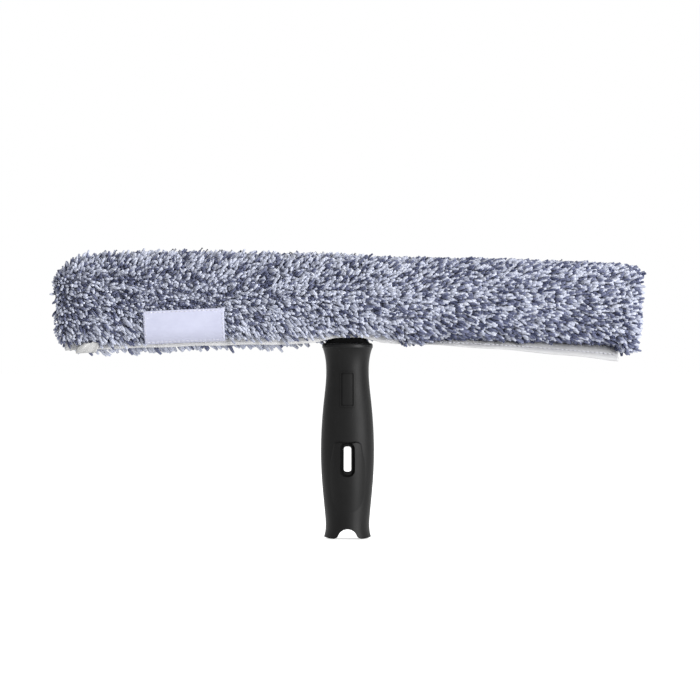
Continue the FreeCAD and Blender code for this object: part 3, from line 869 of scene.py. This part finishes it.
LEAN_DEGREES = key_values([
    (-230, 22), (-222, 34), (-212, 44), (-150, 42), (-80, 44), (0, 50), (40, 58), (100, 65), (200, 65),
    (215, 54), (230, 30),
])
LEAN_UNEVEN = 0.12
LEAN_PATCH = 24 * MM
DROOP = key_values([(-230, 0.6), (-120, 0.3), (0, 0.12), (230, 0.08)])
FAN = key_values([(-230, 0.1), (-150, 0.35), (-80, 0.6), (40, 0.5), (120, 0.25)])
FAN_RISE = 0.4
FAN_LOW = -0.1
STRAY = key_values([(-60, 0.28), (60, 0.15)])
STRAY_PATCH = 18 * MM
TOP_UPRIGHT = 0.95
HANGING = 1.2
HANG_UPRIGHT = 0.9
HANG_UNEVEN = 0.1
HANG_PULL = 0.25
CLUMP = 5.0 * MM
CLUMP_SHIFT = 0.3
CLUMP_TABLE = (64, 128)
CLUMP_PULL = key_values([(-230, 0.2), (-212, 0.85), (0, 0.75), (80, 0.3)])
SLOPE_STEP = 1.0 * MM
ROOT_BEND = 0.6


def clump_way(along, walk, length, width, seed):
    """The way from each root to the middle of its clump, in clump sizes, and a lot that the clump draws."""
    row = np.round(walk / width).astype(int)
    stagger = 0.5 * (row % 2)
    column = np.round(along / length - stagger).astype(int)
    table = np.random.default_rng(seed).uniform(-1, 1, (3, *CLUMP_TABLE))
    draws = table[:, row % CLUMP_TABLE[0], column % CLUMP_TABLE[1]]
    middle_along = column + stagger + CLUMP_SHIFT * draws[0]
    middle_walk = row + CLUMP_SHIFT * draws[1]
    return middle_along - along / length, middle_walk - walk / width, (draws[2] + 1) / 2


to_right, upward = bow_axes(root_along)
to_back = np.array([0.0, 1.0, 0.0])
outward = upward * np.sin(root_angle)[:, None] + to_back * np.cos(root_angle)[:, None]
around = upward * np.cos(root_angle)[:, None] - to_back * np.sin(root_angle)[:, None]
slope = plump(root_along + SLOPE_STEP, root_angle) - plump(root_along - SLOPE_STEP, root_angle)
normal = unit(outward - to_right * (slope / (2 * SLOPE_STEP))[:, None])
combed = unit(to_right - normal * (to_right * normal).sum(axis=1, keepdims=True))
lean = np.radians(np.interp(root_along, *LEAN_DEGREES))
lean += LEAN_UNEVEN * soft_waves(root_along, root_walk, LEAN_PATCH, 5)
lean += chance.normal(0, LEAN_UNEVEN, len(lean))
hanging = reach_at(root_along, root_angle) / np.interp(root_along, *REACH) > HANGING
lean = np.where(hanging, HANG_UPRIGHT * lean, lean)
lean *= 1 - (1 - TOP_UPRIGHT) * np.clip(np.sin(root_angle), 0, 1) ** 2
stray = np.interp(root_along, *STRAY)
sway = stray * (soft_waves(root_along, root_walk, STRAY_PATCH, 6) + chance.normal(0, 1, len(lean)))
sway -= np.interp(root_along, *DROOP) * np.cos(root_angle)
fan = np.interp(root_along, *FAN) * np.clip(root_height / FLAT_HEIGHT + FAN_RISE, FAN_LOW, 1)
sway += fan * np.cos(root_angle)
clump_along, clump_round, _ = clump_way(root_along, root_walk, CLUMP, CLUMP, 10)
clump_pull = np.interp(root_along, *CLUMP_PULL) * np.where(hanging, HANG_PULL, 1)
sway -= clump_pull * clump_round
forward = np.sin(lean) + clump_pull * clump_along
end_ways = unit(normal * np.cos(lean)[:, None] + combed * forward[:, None] + around * sway[:, None])
start_ways = unit(normal + end_ways * ROOT_BEND)
print("lean in degrees:", round(np.degrees(lean.min())), "to", round(np.degrees(lean.max())))

# %% [markdown]
# How far a strand reaches off the ground varies in patches, from strand to strand and within its clump, and
# never goes far past the plumpness wanted there. A strand that leans needs more length for the same reach.

# %% Lengths of the tufts
REACH_PATCHY = 0.2
REACH_PATCH = 9 * MM
UNEVEN = key_values([(-60, 0.36), (60, 0.22)])
CLUMP_POINT = 1.1
CLUMP_EVEN = 0.32
MOST_ROOM = 1.7
SHORTEST = 1.6 * MM
LEAN_COUNTS = 0.7
LEAST_RISE = 0.5
reach = reach_at(root_along, root_angle)
reach *= 1 + REACH_PATCHY * soft_waves(root_along, root_walk, REACH_PATCH, 7)
uneven = np.where(hanging, HANG_UNEVEN, np.interp(root_along, *UNEVEN))
reach *= 1 + uneven * chance.uniform(-1, 1, len(lean))
reach *= 1 + CLUMP_POINT * clump_pull * (CLUMP_EVEN - np.hypot(clump_along, clump_round))
reach *= pressed(root_along, root_angle)
room = plump(root_along, root_angle) - bed(root_along, root_angle)
reach = np.minimum(reach, np.maximum(MOST_ROOM * room, SHORTEST))
lengths = reach / np.clip(np.cos(lean * LEAN_COUNTS), LEAST_RISE, 1)
print("strand length in mm:", round(lengths.min() / MM, 1), "to", round(lengths.max() / MM, 1))

# %% [markdown]
# The end panel has its own tufts. They point out of the end and fan outwards at the rim, where they meet
# those of the tube, and they are longer below.

# %% Tufts on the end panel
END_REACH = 5.2 * MM
END_UNEVEN = (0.75, 1.1)
END_TILT = 0.45
END_FAN = 0.5
END_STRAY = 0.3
RIM_SHORTER = 0.35
END_GRID = np.arange(-40, 41) * PITCH
end_depth, end_height = (axis.ravel() for axis in np.meshgrid(END_GRID, END_GRID))
end_depth = end_depth + chance.uniform(-SHAKE, SHAKE, len(end_depth))
end_height = end_height + chance.uniform(-SHAKE, SHAKE, len(end_height))
past_depth = np.maximum(np.abs(end_depth) - FLAT_DEPTH, 0)
past_height = np.maximum(np.abs(end_height) - FLAT_HEIGHT, 0)
rim_share = np.hypot(past_depth, past_height) / (BAR_CORNER + PANEL_GROW)
on_panel = rim_share < 1
end_depth = end_depth[on_panel]
end_height = end_height[on_panel]
rim_share = rim_share[on_panel]
end_roots = on_bow(END_PANEL, end_depth, end_height)
end_right, end_up = bow_axes(np.full(len(end_depth), END_PANEL))
end_rise = end_height / (BAR_HEIGHT / 2)
end_out = end_up * end_rise[:, None] + to_back * (end_depth / (BAR_DEPTH / 2))[:, None]
end_noise = chance.normal(0, END_STRAY, (len(end_depth), 3))
end_start = unit(end_right + END_FAN * end_out * (rim_share ** 2)[:, None])
end_finish = unit(end_start + end_noise)
end_lengths = END_REACH * chance.uniform(*END_UNEVEN, len(end_depth)) * (1 - RIM_SHORTER * rim_share ** 2)
end_lengths *= 1 - END_TILT * end_rise
print("tufts on the end panel:", len(end_depth))

# %% [markdown]
# Two yarns are knitted in together, a dusty navy and a bluish white. On the left they mix strand by strand,
# in patches. On the right the white lies as a full soft bed, and the navy shows as short thick dashes
# on top of it, in staggered rows, closer together along the lower front: partly the yarn's own spread
# there, partly painted shade where the sleeve turns under. Chance alone would give blotches there, so the
# distance from the middle of a dash takes its place. In the middle whole clumps are of one yarn. Some
# fields have less navy: the lower left corner, the lower middle and the top. Round the label the pile is
# parted: a band over it has more navy, as painted shade in the parting, and a field beside it has less.
# These two are limited by the way round in millimetres. The last number of each field is the change in
# the share of navy.

# %% Which strands are navy
NAVY_SHARE = 0.365
NAVY_MORE_RIGHT = 0.01
NAVY_LOW_RIGHT_AND_SHADE = 0.16
NAVY_LESS_FRINGE = 0.24
NAVY_BY_DEGREES = [
    ((-240, -165, 20), (80, 160, 15), -0.14),
    ((-110, 60, 30), (85, 180, 20), -0.07),
    ((-250, 250, 1), (200, 340, 40), -0.06),
]
NAVY_BY_WALK = [
    # The first field is the band over the label, painted shade where the pile parts; the second has less navy
    # beside it.
    ((-157, -98, 4), (35, 43, 2), 0.3),
    ((-178, -158, 4), (18, 32, 3), -0.3),
]
FRINGE = ((-225, 20, 10), (390, 470, 15))
LOW_FRONT = (95, 165, 15)
RIGHT_BLEND = 160 * MM
PATCH = 8 * MM
PATCHY = (0.26, 0.06)
SHADE_PATCH = 22 * MM
SHADY = 0.08
DASH_STEP = 7.4 * MM
DASH_ROW = 3.0 * MM
DASH_SLIM = np.array([1.5, 1.3])
DASHED = 0.8
ALIKE = key_values([(-230, 0.1), (-120, 0.15), (-70, 0.6), (40, 0.6), (90, 0.2)])


def left_to_right(values):
    """One value for each strand, from the left half's to the right half's."""
    return values[0] + (values[1] - values[0]) * rightness


all_roots = np.concatenate([roots, end_roots])
all_starts = np.concatenate([start_ways, end_start])
all_ends = np.concatenate([end_ways, end_finish])
all_lengths = np.concatenate([lengths, end_lengths])
all_along = np.concatenate([root_along, np.full(len(end_depth), END_PANEL)])
all_walk = np.concatenate([root_walk, end_height + 2 * end_depth])
all_angle = np.degrees(-np.concatenate([root_angle, np.zeros(len(end_depth))]))
rightness = np.clip(all_along / RIGHT_BLEND + 0.5, 0, 1)
fringe = field(all_along, FRINGE[0], all_angle, FRINGE[1])
# Fewer navy strands in the fringe: partly its own mix, partly painted light against the shade behind the
# slit.
navy_share = NAVY_SHARE + NAVY_MORE_RIGHT * rightness - NAVY_LESS_FRINGE * fringe
# more navy on the lower front of the right half: partly the yarn's own spread, partly painted shade
navy_share += NAVY_LOW_RIGHT_AND_SHADE * rightness * window(all_angle, *LOW_FRONT)
for way_round, fields in ((all_angle, NAVY_BY_DEGREES), (all_walk / MM, NAVY_BY_WALK)):
    for along_limits, round_limits, more in fields:
        navy_share += more * field(all_along, along_limits, way_round, round_limits)
shades = soft_waves(all_along, all_walk, SHADE_PATCH, 9)
patches = soft_waves(all_along, all_walk, PATCH, 8) * left_to_right(PATCHY) + SHADY * shades
dash_way = np.abs(clump_way(all_along, all_walk, DASH_STEP, DASH_ROW, 11)[:2])
from_dash = np.max(2 * dash_way * DASH_SLIM[:, None], axis=0) ** 2 / np.prod(DASH_SLIM)
dashed = DASHED * rightness
alike = np.interp(all_along, *ALIKE)
clump_lot = clump_way(all_along, all_walk, CLUMP, CLUMP, 10)[2]
lot = (1 - alike) * chance.uniform(0, 1, len(all_along)) + alike * clump_lot
lot = dashed * from_dash + (1 - dashed) * lot
is_navy = patches + lot < navy_share
print("navy strands:", round(100 * float(is_navy.mean())), "in a hundred")

# %% [markdown]
# The navy strands are lifted a little out of the bed, most on the right, so that they lie on top. Every
# strand gets its own thickness and tint. The fringe behind the slit is fuller, and its paler tint is painted
# light against the shade it hangs in.

# %% Thickness and tint of the strands
NAVY_RADIUS = np.array([1.0, 1.12]) * MM
WHITE_RADIUS = np.array([1.1, 1.2]) * MM
RADIUS_UNEVEN = (0.86, 1.14)
NAVY_LIFT = np.array([0.2, 1.2]) * MM
FRINGE_FULLER = 0.3
PALER = (0.15, 0.05)
FRINGE_PAINTED_LIGHT = 0.4
TINT_BY_SHADE = 0.2
radii = np.where(is_navy, left_to_right(NAVY_RADIUS), left_to_right(WHITE_RADIUS))
radii *= chance.uniform(*RADIUS_UNEVEN, len(all_along)) * (1 + FRINGE_FULLER * fringe)
lift = np.where(is_navy, left_to_right(NAVY_LIFT), 0)
lift[len(roots):] = 0
all_roots = all_roots + all_starts * lift[:, None]
tints = chance.uniform(0, 1, len(all_along)) - TINT_BY_SHADE * shades + left_to_right(PALER)
# painted light: the fringe's strands are tinted paler against the shade they hang in
tints = np.clip(tints + FRINGE_PAINTED_LIGHT * fringe, 0, 1)
print("strand radius in mm:", round(radii.min() / MM, 2), "to", round(radii.max() / MM, 2))

# %% [markdown]
# The yarn is matt and a little fuzzy, and light that enters it comes out softened. Each strand is darker at
# its root, as painted shade deep in the pile. The tint and the place along the strand are stored on the
# mesh as point values, and the material reads them back.

# %% Finish of the strands
SCATTER = 1.5 * MM
ROOT_SHADE_SHARE = (0.0, 0.5)


def strand_finish(name, root_shade_colour, dark_colour, light_colour):
    """Microfibre: painted shade at the root, its own tint for each strand, and a matt nap."""
    material, shader = new_finish(name, 0.92, 0.1)
    shader.inputs["Sheen Weight"].default_value = 0.1
    shader.inputs["Sheen Roughness"].default_value = 0.5
    shader.inputs["Subsurface Weight"].default_value = 0.5
    shader.inputs["Subsurface Radius"].default_value = (1, 1, 1)
    shader.inputs["Subsurface Scale"].default_value = SCATTER
    stored = {}
    for value_name in ("tint", "along"):
        node = shader.id_data.nodes.new("ShaderNodeAttribute")
        node.attribute_name = value_name
        stored[value_name] = node.outputs["Fac"]
    body = between(stored["tint"], dark_colour, light_colour)
    cloudy_colour(shader, stored["along"], (root_shade_colour, body), ROOT_SHADE_SHARE)
    fine_grain(shader, object_place(shader), per_metre=1500, strength=0.35, distance=0.25 * MM)
    return material


# The first colour of each yarn is painted shade at its root.
navy_strand = strand_finish("navy_strand", (0.05, 0.056, 0.105), (0.045, 0.052, 0.103), (0.17, 0.184, 0.278))
white_strand = strand_finish("white_strand", (0.31, 0.326, 0.405), (0.35, 0.371, 0.462), (0.58, 0.607, 0.715))
print("yarns:", navy_strand.name, white_strand.name)

# %% [markdown]
# All strands of one yarn could be one mesh, but the pile is split by colour, side and half, so that no piece
# grows too heavy to handle.

# %% Tufts
is_front = all_roots[:, 1] < 0
is_left = all_along < 0
for colour_name, of_colour, finish in (("blue", is_navy, navy_strand), ("white", ~is_navy, white_strand)):
    for side_name, on_side in (("front", is_front), ("back", ~is_front)):
        for half_name, on_half in (("left", is_left), ("right", ~is_left)):
            chosen = of_colour & on_side & on_half
            points, faces, along_share = strands(
                all_roots[chosen], all_starts[chosen], all_ends[chosen], all_lengths[chosen], radii[chosen]
            )
            tint_each = np.repeat(tints[chosen], STRAND_STEPS * STRAND_SIDES)
            piece_name = f"pile_{colour_name}_{side_name}_{half_name}"
            values = {"tint": tint_each, "along": along_share}
            sew_on(mesh_piece(piece_name, points, faces, finish, values))
            print(piece_name, chosen.sum(), "strands")

# %% [markdown]
# Tapes are woven strips folded over the raw edges of the slit. Seen from the front, only the folded edge
# of the front one shows, as a thin white line that rises a little over the handle's neck. A folded
# profile swept along the bow, with a slow waver, is all that a narrow tape needs.

# %% Hems of the slit
HEM_FOOT = keys([
    (-222, -34.4), (-170, -35.8), (-130, -36.5), (-92, -36.7), (-64, -37.2), (-36, -37.1), (-26, -36.4),
    (-18, -34.2), (-10, -32.4), (10, -32.4), (18, -34), (26, -35.8), (40, -37),
])
HEM_FROM = -222 * MM
HEM_TO = 42 * MM
HEM_RISE = 7.0 * MM
HEM_HALF = 0.75 * MM
HEM_DEPTH = 10.8 * MM
BACK_HEM_UP = 0.5 * MM
HEM_WAVER_UP = np.array([0.25, 7]) * MM
HEM_WAVER_DEEP = np.array([0.3, 11]) * MM
HEM_RINGS = 133


def fold_profile(half, foot, top, steps=7):
    """A strip folded over an edge, as depth and height round its outside, half thick to each side."""
    turn = np.linspace(math.pi, 2 * math.pi, steps)
    depth = np.concatenate([[-half], half * np.cos(turn), [half]])
    height = np.concatenate([[top], foot + half + half * np.sin(turn), [top]])
    return depth, height


def waver(along, size, length, turn=0):
    """A small slow wave along a sewn edge."""
    return size * np.sin(along / length + turn)


def hem_foot(along):
    """The height of the folded edge."""
    return np.interp(along, *HEM_FOOT) + waver(along, *HEM_WAVER_UP)


def hem_depth(along, side):
    """The depth of the middle of the tape, on the front or the back edge of the slit."""
    return side * HEM_DEPTH + waver(along, *HEM_WAVER_DEEP, side)


for side_name, side in (("front", -1), ("back", 1)):
    hem_rings = []
    for along in np.linspace(HEM_FROM, HEM_TO, HEM_RINGS):
        foot = hem_foot(along) + (BACK_HEM_UP if side > 0 else 0)
        depth, height = fold_profile(HEM_HALF, foot, foot + HEM_RISE)
        hem_rings.append(on_bow(along, hem_depth(along, side) + depth, height))
    hem = sew_on(swept_piece(f"slit_tape_{side_name}", np.array(hem_rings), white_tape))
    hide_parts(f"hem_{side_name}")

# %% [markdown]
# On the right half the two edges are sewn together under a wide tape, folded double, which hangs lower
# towards the right and swings forward at its foot. The front layer is turned up there, so a second line
# runs along it.

# %% Seam tape
TAPE_FROM = 38 * MM
TAPE_TO = 213 * MM
TAPE_FOOT = keys([(38, -36.6), (80, -37.8), (142, -40.1), (197, -42.5), (213, -43.2)])
TAPE_TURN_UP = keys([(38, 0.8), (80, 1.6), (142, 2.8), (213, 3.9)])
TAPE_TOP = -26 * MM
TAPE_FORWARD = keys([(38, 8), (60, 10), (85, 20), (213, 20)])
TAPE_BEND = 0.4
TAPE_SWING = np.array([0.7, 16]) * MM
TAPE_RIPPLE = np.array([0.4, 6.3]) * MM
TAPE_WAVER = np.array([0.3, 9]) * MM
TAPE_HALF = 0.7 * MM
TAPE_RINGS = 120
TAPE_OUTLINE = [
    (-0.7, None), (-0.7, 0.9), (-1.55, 0.6), (-1.75, 0.2), (-1.75, -0.25), (-1.5, -0.75), (-0.9, -1.0),
    (0.3, -1.0), (0.9, -0.8), (1.1, -0.3), (0.9, 0.9), (0.7, None),
]


def tape_hang(along, height):
    """How far the tape has swung out of the seam's plane at a height, in slow waves along it."""
    foot = np.interp(along, *TAPE_FOOT)
    hang = np.clip((TAPE_TOP - height) / (TAPE_TOP - foot), 0, 1)
    swing = waver(along, *TAPE_SWING) + waver(along, *TAPE_RIPPLE)
    return swing * hang ** 2 - np.interp(along, *TAPE_FORWARD) * hang ** TAPE_BEND


tape_rings = []
for along in np.linspace(TAPE_FROM, TAPE_TO, TAPE_RINGS):
    foot = np.interp(along, *TAPE_FOOT) + waver(along, *TAPE_WAVER)
    turn_up = np.interp(along, *TAPE_TURN_UP)
    ring = []
    for across, share in TAPE_OUTLINE:
        height = TAPE_TOP if share is None else foot + turn_up * (0.5 + 0.5 * share)
        ring.append(on_bow(along, across * MM + tape_hang(along, height), height))
    tape_rings.append(ring)
seam_tape = sew_on(swept_piece("sewn_seam_tape", np.array(tape_rings), seam_cotton))
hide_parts("seam_tape")
print("seam tape:", len(seam_tape.data.polygons), "faces")

# %% [markdown]
# The mouth at the left end is bound with a softer, creamier tape, folded over the edge of the backing. Its
# profile is walked round the section, from one edge of the slit to the other.

# %% Binding of the mouth
BINDING_LENGTH = 22 * MM
BINDING_INNER = 0.5 * MM
BINDING_OUTER = 2.6 * MM
BINDING_RINGS = 80
BINDING_PROFILE = [(0.4, 0.4), (-0.2, 0.9), (-0.5, 1.8), (-0.2, 2.7), (0.4, 3.1)]
binding_edge = walk_to_depth(SLIT_DEPTH, BACKING_OUTER)
binding_walk = np.linspace(binding_edge, girth(BACKING_OUTER) - binding_edge, BINDING_RINGS)
binding_rings = []
for walk in binding_walk:
    ring = []
    for grow in (BINDING_OUTER, BINDING_INNER):
        ring.append(skin(MOUTH + BINDING_LENGTH, walk, BACKING_OUTER, grow))
    for past, grow in BINDING_PROFILE:
        ring.append(skin(MOUTH + past * MM, walk, BACKING_OUTER, grow * MM))
    binding_rings.append(np.array(ring))
mouth_binding = sew_on(swept_piece("mouth_binding", np.array(binding_rings), cream_tape))
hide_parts("end_binding")
print("binding:", len(mouth_binding.data.polygons), "faces")

# %% [markdown]
# The binding's end is left over at the lower corner, where it shows from the front as a small loose fold.
# Its two edges are led smoothly through a few given points, and the cloth is stretched between them.

# %% Loose end of the tape
TAPE_END_ROWS = [
    ((-210, -10.6, -31.0), (-196, -10.6, -31.0)),
    ((-211.5, -11.4, -35.4), (-197, -11.4, -35.6)),
    ((-213, -14.0, -37.2), (-198, -14.0, -37.4)),
    ((-213.5, -17.5, -36.6), (-197, -18.0, -36.2)),
    ((-212.5, -19.8, -34.4), (-195.5, -20.6, -33.2)),
    ((-210.5, -21.0, -31.8), (-195, -21.8, -30.6)),
    ((-206, -21.6, -30.2), (-198.5, -22.0, -29.6)),
]
TAPE_END_COLUMNS = 18
TAPE_END_STEPS = 40
TAPE_END_THICK = 1.2 * MM
TAPE_END_FOLDS = 3
RIPPLES = [(0.5, 7, 1), (0.35, 15, -2.3)]


def smooth_through(values, count):
    """A row of points led smoothly through a few given ones."""
    values = np.array(values, dtype=float)
    places = np.linspace(0, len(values) - 1, count)
    whole = np.clip(places.astype(int), 0, len(values) - 2)
    part = (places - whole)[:, None]
    before = values[np.maximum(whole - 1, 0)]
    here = values[whole]
    ahead = values[whole + 1]
    after = values[np.minimum(whole + 2, len(values) - 1)]
    bend = 2 * before - 5 * here + 4 * ahead - after
    twist = 3 * (here - ahead) + after - before
    return here + 0.5 * part * (ahead - before + part * (bend + part * twist))


left_edge = smooth_through([row[0] for row in TAPE_END_ROWS], TAPE_END_STEPS)
right_edge = smooth_through([row[1] for row in TAPE_END_ROWS], TAPE_END_STEPS)
across = np.linspace(0, 1, TAPE_END_COLUMNS)[:, None, None]
tape_end_sheet = left_edge[None] * (1 - across) + right_edge[None] * across
folds = np.linspace(0, TAPE_END_FOLDS, TAPE_END_STEPS)[None]
for size, crossings, slant in RIPPLES:
    tape_end_sheet[:, :, 1] += size * np.sin(across[:, :, 0] * crossings + slant * folds)
tape_end_outer = on_bow(*(tape_end_sheet[:, :, axis] * MM for axis in range(3)))
run = np.gradient(tape_end_sheet, axis=1)
inward = np.stack([0 * run[:, :, 0], run[:, :, 2], -run[:, :, 1]], axis=-1)
tape_end_inner = tape_end_sheet * MM + unit(inward) * TAPE_END_THICK
tape_end_inner = on_bow(*(tape_end_inner[:, :, axis] for axis in range(3)))
tape_end_rings = np.concatenate([tape_end_outer, tape_end_inner[:, ::-1]], axis=1)
tape_end = sew_on(swept_piece("loose_tape_end", tape_end_rings, cream_tape))
print("loose tape end:", len(tape_end.data.polygons), "faces")

# %% [markdown]
# The label is a strip of satin sewn to the lower front of the pile. It carries nothing here. It lies on the
# strands, so it curves with the sleeve and bulges a little between its stitched edges.

# %% Label
LABEL_FROM = -158.7 * MM
LABEL_TO = -95.8 * MM
LABEL_TOP = -8.0 * MM
LABEL_FOOT = -33.6 * MM
LABEL_FRONT = -28.2 * MM
LABEL_BELLY = -16 * MM
LABEL_CURL = 1900.0
LABEL_WAVER = np.array([0.3, 8]) * MM
LABEL_WAVE_HEIGHT = 7 * MM
LABEL_THICK = 0.5 * MM
LABEL_COLUMNS = 64
LABEL_ROWS = 28


def label_depth(along, height):
    """Where the label's face lies: curled back at its foot, with soft waves from the pile under it."""
    wave = waver(along, *LABEL_WAVER) * np.cos(height / LABEL_WAVE_HEIGHT)
    return LABEL_FRONT + LABEL_CURL * np.maximum(LABEL_BELLY - height, 0) ** 3 + wave


label_columns = np.linspace(LABEL_FROM, LABEL_TO, LABEL_COLUMNS)
label_rows = np.linspace(LABEL_FOOT, LABEL_TOP, LABEL_ROWS)
label_along, label_height = np.meshgrid(label_columns, label_rows, indexing="ij")
label_face = on_bow(label_along, label_depth(label_along, label_height), label_height)
label_back = on_bow(label_along, label_depth(label_along, label_height) + LABEL_THICK, label_height)
label_rings = np.concatenate([label_face, label_back[:, ::-1]], axis=1)
bare_label = sew_on(swept_piece("bare_label", label_rings, label_satin))
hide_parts("label")
print("label:", len(bare_label.data.polygons), "faces")

# %% [markdown]
# Rows of machine stitches hold the label, the front hem and the seam tape. A stitch is a short length of
# thread, half sunk in the cloth, so the strand helper makes it as well.

# %% Stitches
STITCH_STEP = 3.4 * MM
STITCH_LENGTH = 2.3 * MM
STITCH_RADIUS = 0.28 * MM
LABEL_MARGIN = 1.4 * MM
HEM_STITCH_UP = 2.4 * MM
TAPE_STITCH_UP = 1.2 * MM


def stitch_places(start, end):
    """Places along a seam, one for each stitch."""
    return np.arange(start, end - STITCH_LENGTH, STITCH_STEP)


def sewn_row(name, starts, ends):
    """A row of stitches, from points to points, in thread."""
    ways = unit(ends - starts)
    count = len(starts)
    points, faces, _ = strands(
        starts, ways, ways, np.full(count, STITCH_LENGTH), np.full(count, STITCH_RADIUS)
    )
    return sew_on(mesh_piece(name, points, faces, sewing_thread))


def label_point(along, height):
    """A point on the label's face."""
    return on_bow(along, label_depth(along, height), height)


level_places = stitch_places(LABEL_FROM + LABEL_MARGIN, LABEL_TO - LABEL_MARGIN)
upright_places = stitch_places(LABEL_FOOT + 2 * LABEL_MARGIN, LABEL_TOP - LABEL_MARGIN)
label_starts = []
label_ends = []
for edge_height in (LABEL_FOOT + LABEL_MARGIN, LABEL_TOP - LABEL_MARGIN):
    label_starts.append(label_point(level_places, edge_height))
    label_ends.append(label_point(level_places + STITCH_LENGTH, edge_height))
for edge_along in (LABEL_FROM + LABEL_MARGIN, LABEL_TO - LABEL_MARGIN):
    label_starts.append(label_point(edge_along, upright_places))
    label_ends.append(label_point(edge_along, upright_places + STITCH_LENGTH))
label_stitches = sewn_row("label_stitches", np.concatenate(label_starts), np.concatenate(label_ends))


def hem_point(along):
    """A point on the front face of the front hem."""
    return on_bow(along, hem_depth(along, -1) - HEM_HALF, hem_foot(along) + HEM_STITCH_UP)


def tape_point(along):
    """A point on the front face of the seam tape, over its turned-up edge."""
    height = np.interp(along, *TAPE_FOOT) + np.interp(along, *TAPE_TURN_UP) + TAPE_STITCH_UP
    return on_bow(along, tape_hang(along, height) - TAPE_HALF, height)


hem_places = stitch_places(HEM_FROM, HEM_TO)
hem_stitches = sewn_row("hem_stitches", hem_point(hem_places), hem_point(hem_places + STITCH_LENGTH))
tape_places = stitch_places(TAPE_FROM, TAPE_TO)
tape_stitches = sewn_row("tape_stitches", tape_point(tape_places), tape_point(tape_places + STITCH_LENGTH))
print("stitches:", sum(map(len, label_starts)) + len(hem_places) + len(tape_places))
